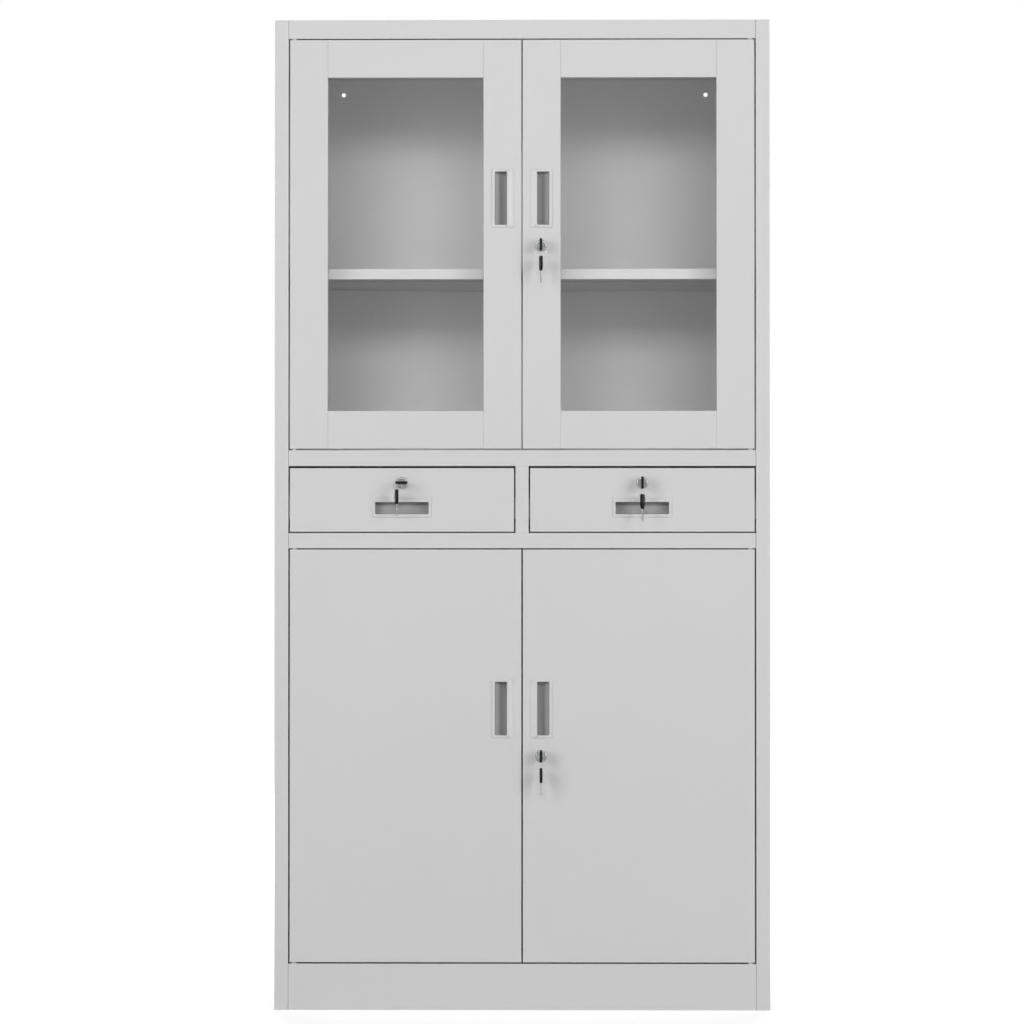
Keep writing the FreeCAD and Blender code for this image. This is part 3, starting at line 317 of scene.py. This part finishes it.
def loft_faces(loops, count, closed, start):
    """Quads between neighbouring loops, whose points are numbered from start on. The end loops are joined,
    or each is closed by one face."""
    ring = np.arange(count) + start
    after = np.roll(ring, -1)
    row = np.arange(loops if closed else loops - 1)[:, None] * count
    above = (row + count) % (loops * count)
    quads = np.stack([row + ring, row + after, above + after, above + ring], axis=-1)
    faces = quads.reshape(-1, 4).tolist()
    if not closed:
        faces += [ring[::-1].tolist(), (ring + (loops - 1) * count).tolist()]
    return faces


def piece(name, body, material, shells, crease=EDGE_CREASE_DEGREES):
    """A mesh piece that rides its body, made of closed shells: each is its loops, and whether the last loop
    joins the first. Edges sharper than the crease, in degrees, stay sharp."""
    points = np.concatenate([loops.reshape(-1, 3) for loops, closed in shells])
    faces = []
    start = 0
    for loops, closed in shells:
        rows, count = loops.shape[:2]
        faces += loft_faces(rows, count, closed, start)
        start += rows * count
    mesh = bpy.data.meshes.new(name)
    mesh.from_pydata(points.tolist(), [], faces)
    work = bmesh.new()
    work.from_mesh(mesh)
    bmesh.ops.recalc_face_normals(work, faces=work.faces)
    work.to_mesh(mesh)
    work.free()
    mesh.shade_smooth()
    mesh.set_sharp_from_angle(angle=math.radians(crease))
    mesh.materials.append(material)
    made = bpy.data.objects.new(name, mesh)
    bpy.context.scene.collection.objects.link(made)
    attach(made, body)
    return made


def satin_abs(name, pale, dull):
    """Moulded ABS: satin, with the fine spark-eroded grain of its mould.
    The grain is drawn 1.2 mm wide, several times the real one, so that it shows close up."""
    material, tree, place = blank_material(name)
    flow = add(tree, "TexNoise", {"Vector": place, "Scale": 1 / ABS_FLOW, "Detail": 2.0})
    colour = add(tree, "ValToRGB", {"Fac": flow.outputs["Fac"]})
    colour.color_ramp.elements[0].color = linear(dull)
    colour.color_ramp.elements[1].color = linear(pale)
    grain = add(tree, "TexNoise", {"Vector": place, "Scale": 1 / ABS_GRAIN, "Detail": 2.0})
    shine = add(tree, "MapRange", {
        "Value": grain.outputs["Fac"], "To Min": ABS_GLOSSIEST, "To Max": ABS_DULLEST})
    skin = add(tree, "Bump", {"Height": grain.outputs["Fac"], "Distance": ABS_GRAIN_HEIGHT})
    shader = add(tree, "BsdfPrincipled", {
        "Base Color": colour.outputs["Color"], "Roughness": shine.outputs["Result"],
        "Normal": skin.outputs["Normal"], "IOR": ABS_IOR})
    add(tree, "OutputMaterial", {"Surface": shader.outputs["BSDF"]})
    return material


def smooth_step(share):
    """0 below 0, 1 above 1, and 3 t t - 2 t t t between."""
    inside = np.clip(share, 0, 1)
    return inside * inside * (3 - 2 * inside)


def grip_rise(points, half_width, half_length):
    """How far the face stands above the plain rim: a ramp from below it at the outer edge to the flat top
    of the grip, ((rise + sink) ramp - sink), which fades past the slot's near edge and at both ends."""
    x = points[..., 0] + half_width
    ramp = np.clip((x - GRIP_ROOT) / (GRIP_WIDTH - GRIP_ROOT - GRIP_TOP), 0, 1)
    near = np.clip((GRIP_WIDTH + GRIP_FADE - x) / GRIP_FADE, 0, 1)
    ends = smooth_step((half_length - RIM_ROUND - np.abs(points[..., 2])) / GRIP_FADE)
    return ((GRIP_RISE + GRIP_SINK) * ramp - GRIP_SINK) * near * ends


def rim_loops(half_width, half_length):
    """Loops round the rim: under the flange, the quarter round of its edge, the face, and the rounded slot.
    The face lies one rim height H in front of the skin, and the grip stretches that,
    y' = y (1 + rise / H)."""
    cup_side = half_width - CUP_INSET
    cup_end = half_length - CUP_INSET
    slot_end = cup_end - CUP_WALL
    inner = np.array([GRIP_WIDTH - half_width, half_width - SLOT_BORDER, slot_end])
    outer = np.array([RIM_ROUND - half_width, half_width - RIM_ROUND, half_length - RIM_ROUND])
    under = [
        level_loop(-cup_side, cup_side, cup_end, RIM_CORNER + CUP_ROUND, 0),
        level_loop(-half_width, half_width, half_length, RIM_CORNER, 0),
    ]
    edge = [level_loop(*(outer + APART * RIM_ROUND * math.cos(angle)), RIM_CORNER,
                       RIM_ROUND * (1 - math.sin(angle)) - RIM_HEIGHT) for angle in QUARTER]
    lip = inner + APART * SLOT_EDGE
    face = [level_loop(*(outer + (lip - outer) * share), SLOT_CORNER + SLOT_EDGE, -RIM_HEIGHT)
            for share in np.linspace(0, 1, FACE_LOOPS + 1)[1:]]
    face += [level_loop(*(inner + APART * SLOT_EDGE * (1 - math.sin(angle))), SLOT_CORNER + SLOT_EDGE,
                        SLOT_EDGE * (1 - math.cos(angle)) - RIM_HEIGHT) for angle in QUARTER[1:]]
    wall = [level_loop(*inner, SLOT_CORNER, 0)]
    loops = np.array(under + edge + face + wall)
    loops[..., 1] *= 1 + grip_rise(loops, half_width, half_length) / RIM_HEIGHT
    return loops


def cup_loops(half_width, half_length, cup_back):
    """Loops of the cup: from the middle of its back round the edge and up the outer wall, then down the
    inner wall and the fillet to the middle of its floor. Away from the grip it is a scoop that gets
    shallower, y' = y (1 - scoop (1 - cos(t pi / 2))), with t from 0 at the grip to 1 at the far wall."""
    side = half_width - CUP_INSET
    end = half_length - CUP_INSET
    outer = np.array([-side, side, end])
    inner = outer - APART * CUP_WALL
    corner = RIM_CORNER + CUP_ROUND
    inner_corner = corner - CUP_WALL
    floor = cup_back - CUP_WALL
    spine = np.array([-CUP_SPINE, CUP_SPINE, end - side])
    back_edge = outer - APART * CUP_ROUND
    floor_edge = inner - APART * CUP_FILLET
    shares = np.linspace(0, 1, FACE_LOOPS + 1)[:-1]
    back = [level_loop(*(spine + (back_edge - spine) * share),
                       CUP_SPINE + (corner - CUP_SPINE) * share, cup_back) for share in shares]
    back += [level_loop(*(outer - APART * CUP_ROUND * (1 - math.sin(angle))), corner,
                        cup_back - CUP_ROUND * (1 - math.cos(angle))) for angle in QUARTER]
    walls = [level_loop(*outer, corner, 0), level_loop(*inner, inner_corner, 0)]
    bottom = [level_loop(*(inner - APART * CUP_FILLET * (1 - math.cos(angle))), inner_corner,
                         floor - CUP_FILLET * (1 - math.sin(angle))) for angle in QUARTER]
    bottom += [level_loop(*(spine + (floor_edge - spine) * share),
                          CUP_SPINE + (inner_corner - CUP_SPINE) * share, floor) for share in shares[::-1]]
    loops = np.array(back + walls + bottom)
    near = GRIP_WIDTH - half_width
    away = np.clip((loops[..., 0] - near) / (side - CUP_WALL - near), 0, 1)
    loops[..., 1] *= 1 - CUP_SCOOP_SHARE * (1 - np.cos(away * math.pi / 2))
    return loops


def quarter_turned(points, turns):
    """Points turned about the Y axis by quarter turns: x' = x cos + z sin, z' = z cos - x sin."""
    x, y, z = np.moveaxis(points, -1, 0)
    cos = round(math.cos(turns * math.pi / 2))
    sin = round(math.sin(turns * math.pi / 2))
    return np.stack([x * cos + z * sin, y, z * cos - x * sin], axis=-1)


skin_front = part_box("lower_right_door_skin")[0].y
rim_plastic = satin_abs("rim_abs", RIM_GREY, RIM_GREY_DULL)
# the cup plastic's darker grey is painted shade of the recess
shaded_cup_plastic = satin_abs("cup_abs_painted_shade", CUP_GREY_PAINTED_SHADE, CUP_GREY_DULL_PAINTED_SHADE)
for node_name, body, turns in PULLS:
    low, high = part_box(node_name)
    half_width, half_length = sorted(((high.x - low.x) / 2, (high.z - low.z) / 2))
    centre = np.array([(low.x + high.x) / 2, skin_front, (low.z + high.z) / 2])
    rim = quarter_turned(rim_loops(half_width, half_length), turns) + centre
    cup = quarter_turned(cup_loops(half_width, half_length, high.y - skin_front), turns) + centre
    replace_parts(piece(node_name + "_rim", body, rim_plastic, [(rim, True)]), node_name)
    piece(node_name + "_cup", body, shaded_cup_plastic, [(cup, False)])

# Cam locks: a chromed bezel and threaded barrel in one, held by a hexagon nut behind the skin.
# The chromed plug turns inside the barrel and carries the cam on its end.
LOCKS = (
    # lock, and the body that carries it
    ("upper_door", "upper_right_door"),
    ("lower_door", "lower_right_door"),
    ("left_drawer", "left_drawer"),
    ("right_drawer", "right_drawer"),
)
# both chrome tones are darker than real chrome: a painted reflection of dark surroundings
CHROME_PALE_PAINTED_DARK = "#a6a7a8"
CHROME_SMOKE_PAINTED_DARK = "#757678"
CHROME_GLOSSIEST = 0.08
CHROME_DULLEST = 0.2
CHROME_CLOUD = 0.006
BEZEL_RADIUS = 0.0105
BEZEL_ROUND = 0.0024
BEZEL_LIP = 0.0006
BEZEL_DISH = 0.0005
PLUG_HOLE = 0.00655
BARREL_RADIUS = 0.009
SHEET = 0.0008
NUT_HEIGHT = 0.004
NUT_CREASE_DEGREES = 30
THREAD_GAP = 0.0004
THREAD_START = SHEET + NUT_HEIGHT + THREAD_GAP
THREAD_PITCH = 0.001
THREAD_DEPTH = 0.00035
THREAD_ROWS = 120
TURN_STEPS = 72


def chrome_plate_painted_dark():
    """Decorative chromium on a zinc casting: a clear mirror with slightly hazy patches.
    Its colour is darkened as a painted reflection of dark surroundings.
    """
    material, tree, place = blank_material("chrome_plate_painted_dark")
    cloud = add(tree, "TexNoise", {"Vector": place, "Scale": 1 / CHROME_CLOUD, "Detail": 3.0})
    colour = add(tree, "ValToRGB", {"Fac": cloud.outputs["Fac"]})
    colour.color_ramp.elements[0].color = linear(CHROME_SMOKE_PAINTED_DARK)
    colour.color_ramp.elements[1].color = linear(CHROME_PALE_PAINTED_DARK)
    shine = add(tree, "MapRange", {
        "Value": cloud.outputs["Fac"], "To Min": CHROME_GLOSSIEST, "To Max": CHROME_DULLEST})
    shader = add(tree, "BsdfPrincipled", {
        "Base Color": colour.outputs["Color"], "Roughness": shine.outputs["Result"], "Metallic": 1.0})
    add(tree, "OutputMaterial", {"Surface": shader.outputs["BSDF"]})
    return material


def turned(radius, depth):
    """Rows of points round the lock's axis: x = r cos t, z = r sin t, with r and depth for each row
    and angle."""
    angle = np.linspace(0, 2 * math.pi, TURN_STEPS, endpoint=False)
    radius = np.broadcast_to(radius, (len(depth), TURN_STEPS))
    depth = np.broadcast_to(depth, (len(depth), TURN_STEPS))
    return np.stack([radius * np.cos(angle), depth, radius * np.sin(angle)], axis=-1)


def barrel_rows(bezel_front, barrel_back):
    """Radius and depth of the bezel and barrel: a lip and a dish at the plug, a quarter round to the rim,
    and behind the nut a helical thread, r = R - d saw(depth / pitch - turn), with turn from 0 to 1 once
    round the axis."""
    dish = [
        (PLUG_HOLE, bezel_front + BEZEL_DISH + BEZEL_LIP),
        (PLUG_HOLE, bezel_front + BEZEL_DISH),
        (PLUG_HOLE + BEZEL_LIP, bezel_front + BEZEL_DISH),
        (PLUG_HOLE + BEZEL_LIP * 2, bezel_front),
    ]
    shoulder = np.column_stack([
        BEZEL_RADIUS - BEZEL_ROUND * (1 - np.sin(QUARTER)),
        bezel_front + BEZEL_ROUND * (1 - np.cos(QUARTER)),
    ])
    seat = [
        (BEZEL_RADIUS, -BEZEL_LIP / 2),
        (BEZEL_RADIUS - BEZEL_LIP / 2, 0),
        (BARREL_RADIUS, 0),
    ]
    front = np.concatenate([dish, shoulder, seat])
    depth = np.linspace(THREAD_START, barrel_back, THREAD_ROWS)
    turn = np.linspace(0, 1, TURN_STEPS, endpoint=False)
    saw = np.abs((depth[:, None] / THREAD_PITCH - turn) % 1 - 0.5) * 2
    thread = BARREL_RADIUS - THREAD_DEPTH * saw
    radius = np.concatenate([
        np.repeat(front[:, :1], TURN_STEPS, axis=1), thread, np.full((1, TURN_STEPS), PLUG_HOLE)])
    levels = np.concatenate([front[:, 1], depth, [barrel_back]])[:, None]
    return turned(radius, levels)


def nut_rows(corner_radius, near, far, bore):
    """A hexagon nut: r = flat / cos(t) between the corners, chamfered to a circle at both ends."""
    angle = np.linspace(0, 2 * math.pi, TURN_STEPS, endpoint=False)
    flat = corner_radius * math.cos(math.pi / 6)
    hexagon = flat / np.cos(angle % (math.pi / 3) - math.pi / 6)
    chamfer = (hexagon - flat) * math.tan(math.pi / 6)
    rounds = np.full(TURN_STEPS, flat)
    inside = np.full(TURN_STEPS, bore)
    front = np.full(TURN_STEPS, near)
    back = np.full(TURN_STEPS, far)
    radius = np.stack([inside, rounds, hexagon, hexagon, rounds, inside])
    depth = np.stack([front, front, front + chamfer, back - chamfer, back, back])
    return turned(radius, depth)


# the chrome's darkened colour is a painted reflection of dark surroundings
chrome = chrome_plate_painted_dark()
for lock, body in LOCKS:
    low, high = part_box(lock + "_lock_housing")
    nut_radius = (high.x - low.x) / 2
    axis = np.array([(low.x + high.x) / 2, skin_front, (low.z + high.z) / 2])
    barrel = barrel_rows(low.y - skin_front, high.y - skin_front) + axis
    nut = nut_rows(nut_radius, SHEET, SHEET + NUT_HEIGHT, BARREL_RADIUS) + axis
    shells = [(barrel, True), (nut, True)]
    housing = piece(lock + "_lock_bezel", body, chrome, shells, NUT_CREASE_DEGREES)
    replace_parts(housing, lock + "_lock_housing")
    dress(chrome, (lock + "_lock_cylinder",))

# Keys: a head of black plastic moulded on a nickel-plated blade, one in each lock.
# A second key hangs nearly edge-on from the first by a split ring of two turns of spring wire.
SPARE_TWIST_DEGREES = {"upper_door": 8.4, "lower_door": 2.8, "left_drawer": 9.8, "right_drawer": -14.0}
KEY_LENGTH = 0.027
KEY_WIDTH = 0.022
KEY_GAUGE = 0.0046
KEY_NECK = 0.012
KEY_TAPER = 0.009
KEY_CORNER = 0.004
KEY_EDGE = 0.0013
EYE_LENGTH = 0.013
EYE_WIDTH = 0.004
EYE_ROUND = 0.0018
EYE_BAR = 0.0035
BLADE_LENGTH = 0.0215
BLADE_WIDTH = 0.008
BLADE_GAUGE = 0.002
BLADE_CORNER_SHARE = 0.3
BLADE_TIP = 0.003
BLADE_TIP_SHARE = 0.08
BLADE_CUTS = 5
BLADE_CUT_DEPTH = 0.0012
BLADE_LAND_SHARE = 0.4
GROOVE_DEPTH_SHARE = 0.45
GROOVE_WIDTH_SHARE = 0.3
BLADE_STEPS = 90
RING_RADIUS = 0.010
RING_TURNS = 2
RING_WIRE = 0.0003
RING_STEPS = 160
WIRE_STEPS = 12
KEY_BLACK = "#050505"
KEY_BLACK_WORN = "#0f0f10"
KEY_SHEEN = 0.12
KEY_GLOSSIEST = 0.3
KEY_DULLEST = 0.48
KEY_GRAIN = 0.0008
KEY_GRAIN_HEIGHT = 0.00002
NICKEL_PALE = "#bcbbb9"
NICKEL_DARK = "#949391"
NICKEL_GLOSSIEST = 0.16
NICKEL_DULLEST = 0.34
NICKEL_SCRATCH = 0.0004
NICKEL_SCRATCH_HEIGHT = 0.000003


def key_plastic():
    """Black ABS over-moulding: satin, finely grained, a little paler where it is rubbed.
    The grain is drawn 0.8 mm wide, coarser than the real one, so that it shows close up."""
    material, tree, place = blank_material("black_abs")
    grain = add(tree, "TexNoise", {"Vector": place, "Scale": 1 / KEY_GRAIN, "Detail": 3.0})
    colour = add(tree, "ValToRGB", {"Fac": grain.outputs["Fac"]})
    colour.color_ramp.elements[0].color = linear(KEY_BLACK)
    colour.color_ramp.elements[1].color = linear(KEY_BLACK_WORN)
    shine = add(tree, "MapRange", {
        "Value": grain.outputs["Fac"], "To Min": KEY_GLOSSIEST, "To Max": KEY_DULLEST})
    skin = add(tree, "Bump", {"Height": grain.outputs["Fac"], "Distance": KEY_GRAIN_HEIGHT})
    shader = add(tree, "BsdfPrincipled", {
        "Base Color": colour.outputs["Color"], "Roughness": shine.outputs["Result"],
        "Normal": skin.outputs["Normal"], "IOR": ABS_IOR, "Specular IOR Level": KEY_SHEEN})
    add(tree, "OutputMaterial", {"Surface": shader.outputs["BSDF"]})
    return material


def nickel_plate():
    """Nickel plate on a stamped brass blade: a warm pale metal with fine scratches.
    They are drawn 0.4 mm wide, coarser than the real ones, so that they show close up."""
    material, tree, place = blank_material("nickel_plate")
    scratch = add(tree, "TexNoise", {"Vector": place, "Scale": 1 / NICKEL_SCRATCH, "Detail": 2.0})
    colour = add(tree, "ValToRGB", {"Fac": scratch.outputs["Fac"]})
    colour.color_ramp.elements[0].color = linear(NICKEL_DARK)
    colour.color_ramp.elements[1].color = linear(NICKEL_PALE)
    shine = add(tree, "MapRange", {
        "Value": scratch.outputs["Fac"], "To Min": NICKEL_GLOSSIEST, "To Max": NICKEL_DULLEST})
    skin = add(tree, "Bump", {"Height": scratch.outputs["Fac"], "Distance": NICKEL_SCRATCH_HEIGHT})
    shader = add(tree, "BsdfPrincipled", {
        "Base Color": colour.outputs["Color"], "Roughness": shine.outputs["Result"],
        "Normal": skin.outputs["Normal"], "Metallic": 1.0})
    add(tree, "OutputMaterial", {"Surface": shader.outputs["BSDF"]})
    return material


def key_outline(inset, through):
    """The edge of a key head, drawn in by inset: a rounded rectangle from the root on, whose width goes
    smoothly from the neck to full, w = neck + (width - neck) smooth(along / taper)."""
    flat = rounded_loop(
        inset - KEY_WIDTH / 2, KEY_WIDTH / 2 - inset, inset, KEY_LENGTH - inset, KEY_CORNER - inset)
    wide = KEY_NECK + (KEY_WIDTH - KEY_NECK) * smooth_step(flat[:, 1] / KEY_TAPER)
    return np.column_stack([flat[:, 0] * wide / KEY_WIDTH, flat[:, 1], np.full(len(flat), through)])


def key_eye(outset, through):
    """The slot for the ring, let out by outset: a rounded rectangle across the end of the head."""
    top = KEY_LENGTH - EYE_BAR
    flat = rounded_loop(
        -EYE_LENGTH / 2 - outset, EYE_LENGTH / 2 + outset, top - EYE_WIDTH - outset, top + outset,
        EYE_ROUND + outset)
    return np.column_stack([flat, np.full(len(flat), through)])


def key_head():
    """A key head as a closed band between its outline and the eye: the loops go over both faces, with
    quarter rounds at all four edges. Points are (across, along, through), with along from the root."""
    inset = KEY_EDGE * (1 - np.cos(QUARTER))
    level = KEY_GAUGE / 2 - KEY_EDGE + KEY_EDGE * np.sin(QUARTER)
    front = [key_outline(*step) for step in zip(inset, level)]
    front += [key_eye(*step) for step in zip(inset[::-1], level[::-1])]
    back = [key_eye(*step) for step in zip(inset, -level)]
    back += [key_outline(*step) for step in zip(inset[::-1], -level[::-1])]
    return np.array(front + back)


def key_blade():
    """A blade that runs from the root away from the head: a rounded bar, cut by V notches, with a tip,
    w = (half width - depth notch(s)) min(1, (L - s) / tip), and a milled groove down each face,
    1 - depth exp(-(across / width) ** 2)."""
    along = np.linspace(0, 1, BLADE_STEPS)[:, None] * BLADE_LENGTH
    section = rounded_loop(-1, 1, -1, 1, BLADE_CORNER_SHARE)
    tip = np.clip((BLADE_LENGTH - along) / BLADE_TIP, BLADE_TIP_SHARE, 1)
    notch = np.abs((along / BLADE_LENGTH * BLADE_CUTS) % 1 - 0.5) * 2
    steep = (1 + BLADE_LAND_SHARE) * notch - BLADE_LAND_SHARE
    cut = BLADE_CUT_DEPTH * smooth_step(steep) * (along > BLADE_TIP)
    groove = 1 - GROOVE_DEPTH_SHARE * np.exp(-(section[:, 0] / GROOVE_WIDTH_SHARE) ** 2)
    across = section[:, 0] * (BLADE_WIDTH / 2 - cut) * tip
    through = section[:, 1] * groove * np.full_like(along, BLADE_GAUGE / 2)
    return np.stack([across, np.broadcast_to(-along, across.shape), through], axis=-1)


def split_ring(centre):
    """Two turns of wire side by side, as a tube round the helix x = R cos t, z = R sin t,
    y = wire (t / pi - turns) / turns."""
    turn = np.linspace(0, 2 * math.pi * RING_TURNS, RING_STEPS)[:, None]
    around = np.linspace(0, 2 * math.pi, WIRE_STEPS, endpoint=False)
    radius = RING_RADIUS + RING_WIRE * np.cos(around)
    y = RING_WIRE * (turn / math.pi - RING_TURNS) / RING_TURNS + RING_WIRE * np.sin(around)
    return np.stack([radius * np.cos(turn), y, radius * np.sin(turn)], axis=-1) + centre


def in_lock(points, root, lies_flat):
    """Local (across, along, through) to the place of a key in its lock, with the head towards the viewer:
    y = -along, and across goes to X in a key that lies flat, or to Z in one that stands."""
    across, along, through = np.moveaxis(points, -1, 0)
    x, z = (across, through) if lies_flat else (through, across)
    return np.stack([x, -along, z], axis=-1) + root


def hanging(points, root, twist):
    """Local (across, along, through) to the place of a spare key, turned by its twist about the upright:
    x = through cos - across sin, y = through sin + across cos, z = along."""
    across, along, through = np.moveaxis(points, -1, 0)
    cos = math.cos(math.radians(twist))
    sin = math.sin(math.radians(twist))
    return np.stack([through * cos - across * sin, through * sin + across * cos, along], axis=-1) + root


key_black = key_plastic()
nickel = nickel_plate()
head = key_head()
blade = key_blade()
for lock, twist in SPARE_TWIST_DEGREES.items():
    low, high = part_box(lock + "_key")
    lies_flat = high.x - low.x > high.z - low.z
    root = np.array([(low.x + high.x) / 2, low.y + KEY_LENGTH, (low.z + high.z) / 2])
    shells = [(in_lock(head, root, lies_flat), True)]
    in_plug = piece(lock + "_key_head", lock + "_lock", key_black, shells)
    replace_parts(in_plug, lock + "_key")
    shells = [(in_lock(blade, root, lies_flat), False)]
    piece(lock + "_key_blade", lock + "_lock", nickel, shells)

    low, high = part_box(lock + "_spare_key")
    root = np.array([(low.x + high.x) / 2, (low.y + high.y) / 2, low.z + BLADE_LENGTH])
    ring_middle = np.array([root[0], root[1], high.z - RING_WIRE * 2 - RING_RADIUS])
    shells = [(hanging(head, root, twist), True)]
    hung = piece(lock + "_spare_head", lock + "_spare", key_black, shells)
    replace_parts(hung, lock + "_spare_key")
    shells = [(hanging(blade, root, twist), False)]
    piece(lock + "_spare_blade", lock + "_spare", nickel, shells)
    shells = [(split_ring(ring_middle), False)]
    piece(lock + "_spare_ring", lock + "_spare", nickel, shells)

# Studio: a pale floor, a white surround, a wide soft lamp high in front, one on each side and one behind.
# The camera stands almost squarely in front, a little low, with a long lens.
FLOOR_HALF = 14.0
FLOOR_CORNERS = ((-1, -1), (1, -1), (1, 1), (-1, 1))
FLOOR_WHITE = "#cfcfcf"
FLOOR_GLOSSIEST = 0.8
FLOOR_DULLEST = 0.95
FLOOR_SPECK = 0.4
FLOOR_GLOW = 0.60
FLOOR_NEAR = 0.9
FLOOR_FAR = 3.0
SURROUND_WHITE = "#ffffff"
WHITE_STRENGTH = 1.0
AMBIENT = 0.04
LAMPS = (
    # name, place, width, height and watts
    ("front_lamp", (0.0, -7.5, 3.3), 4.8, 1.3, 160),
    ("right_lamp", (5.6, -5.8, 2.6), 2.9, 3.8, 246),
    ("left_lamp", (-5.6, -5.8, 2.6), 2.9, 3.8, 211),
    ("back_lamp", (0.0, 7.5, 4.6), 4.8, 2.4, 430),
)
LAMP_AIM = (0.0, 0.0, 0.9)
CAMERA_PLACE = (0.100, -8.428, 0.771)
CAMERA_AIM = (-0.0183, -0.200, 0.904)
CAMERA_LENS_MM = 159.2


def seen_ray(tree):
    """1 for rays that show the background: from the camera, off gloss and through glass."""
    ray = add(tree, "LightPath").outputs
    shown = add(tree, "Math", {0: ray["Is Camera Ray"], 1: ray["Is Glossy Ray"]}, operation="MAXIMUM")
    both = add(tree, "Math", {
        0: shown.outputs["Value"], 1: ray["Is Transmission Ray"]}, operation="MAXIMUM")
    return both.outputs["Value"]


def studio_floor():
    """A white painted floor that glows a little to the eye, and more away from the cabinet,
    so that it keeps the shadow and still meets the white surround."""
    material, tree, place = blank_material("studio_floor")
    speck = add(tree, "TexNoise", {"Vector": place, "Scale": 1 / FLOOR_SPECK, "Detail": 2.0})
    shine = add(tree, "MapRange", {
        "Value": speck.outputs["Fac"], "To Min": FLOOR_GLOSSIEST, "To Max": FLOOR_DULLEST})
    distance = add(tree, "VectorMath", {"Vector": place}, operation="LENGTH")
    strength = add(tree, "MapRange", {
        "Value": distance.outputs["Value"], "From Min": FLOOR_NEAR, "From Max": FLOOR_FAR,
        "To Min": FLOOR_GLOW, "To Max": WHITE_STRENGTH})
    glow = add(tree, "MapRange", {"Value": seen_ray(tree), "To Max": strength.outputs["Result"]})
    shader = add(tree, "BsdfPrincipled", {
        "Base Color": linear(FLOOR_WHITE), "Roughness": shine.outputs["Result"],
        "Emission Color": linear(SURROUND_WHITE), "Emission Strength": glow.outputs["Result"]})
    add(tree, "OutputMaterial", {"Surface": shader.outputs["BSDF"]})
    return material


mesh = bpy.data.meshes.new("floor")
mesh.from_pydata([(x * FLOOR_HALF, y * FLOOR_HALF, 0) for x, y in FLOOR_CORNERS], [], [(0, 1, 2, 3)])
mesh.materials.append(studio_floor())
floor = bpy.data.objects.new("floor", mesh)
bpy.context.scene.collection.objects.link(floor)

world = bpy.data.worlds.new("surround")
bpy.context.scene.world = world
world.use_nodes = True
world.node_tree.nodes.clear()
surround = add(world.node_tree, "MapRange", {
    "Value": seen_ray(world.node_tree), "To Min": AMBIENT, "To Max": WHITE_STRENGTH})
sky = add(world.node_tree, "Background", {
    "Color": linear(SURROUND_WHITE), "Strength": surround.outputs["Result"]})
add(world.node_tree, "OutputWorld", {"Surface": sky.outputs["Background"]})


def facing(place, aim):
    """The turn that points a lamp or a camera at a point."""
    return (Vector(aim) - Vector(place)).to_track_quat("-Z", "Y").to_euler()


def softbox(name, place, width, height, power):
    """A rectangular lamp that faces the cabinet."""
    lamp = bpy.data.lights.new(name, "AREA")
    lamp.shape = "RECTANGLE"
    lamp.size = width
    lamp.size_y = height
    lamp.energy = power
    stand = bpy.data.objects.new(name, lamp)
    stand.location = place
    stand.rotation_euler = facing(place, LAMP_AIM)
    bpy.context.scene.collection.objects.link(stand)


for lamp_sizes in LAMPS:
    softbox(*lamp_sizes)

camera_data = bpy.data.cameras.new("camera")
camera_data.lens = CAMERA_LENS_MM
camera = bpy.data.objects.new("camera", camera_data)
camera.location = CAMERA_PLACE
camera.rotation_euler = facing(CAMERA_PLACE, CAMERA_AIM)
bpy.context.scene.collection.objects.link(camera)
bpy.context.scene.camera = camera
bpy.context.scene.view_settings.view_transform = "Standard"
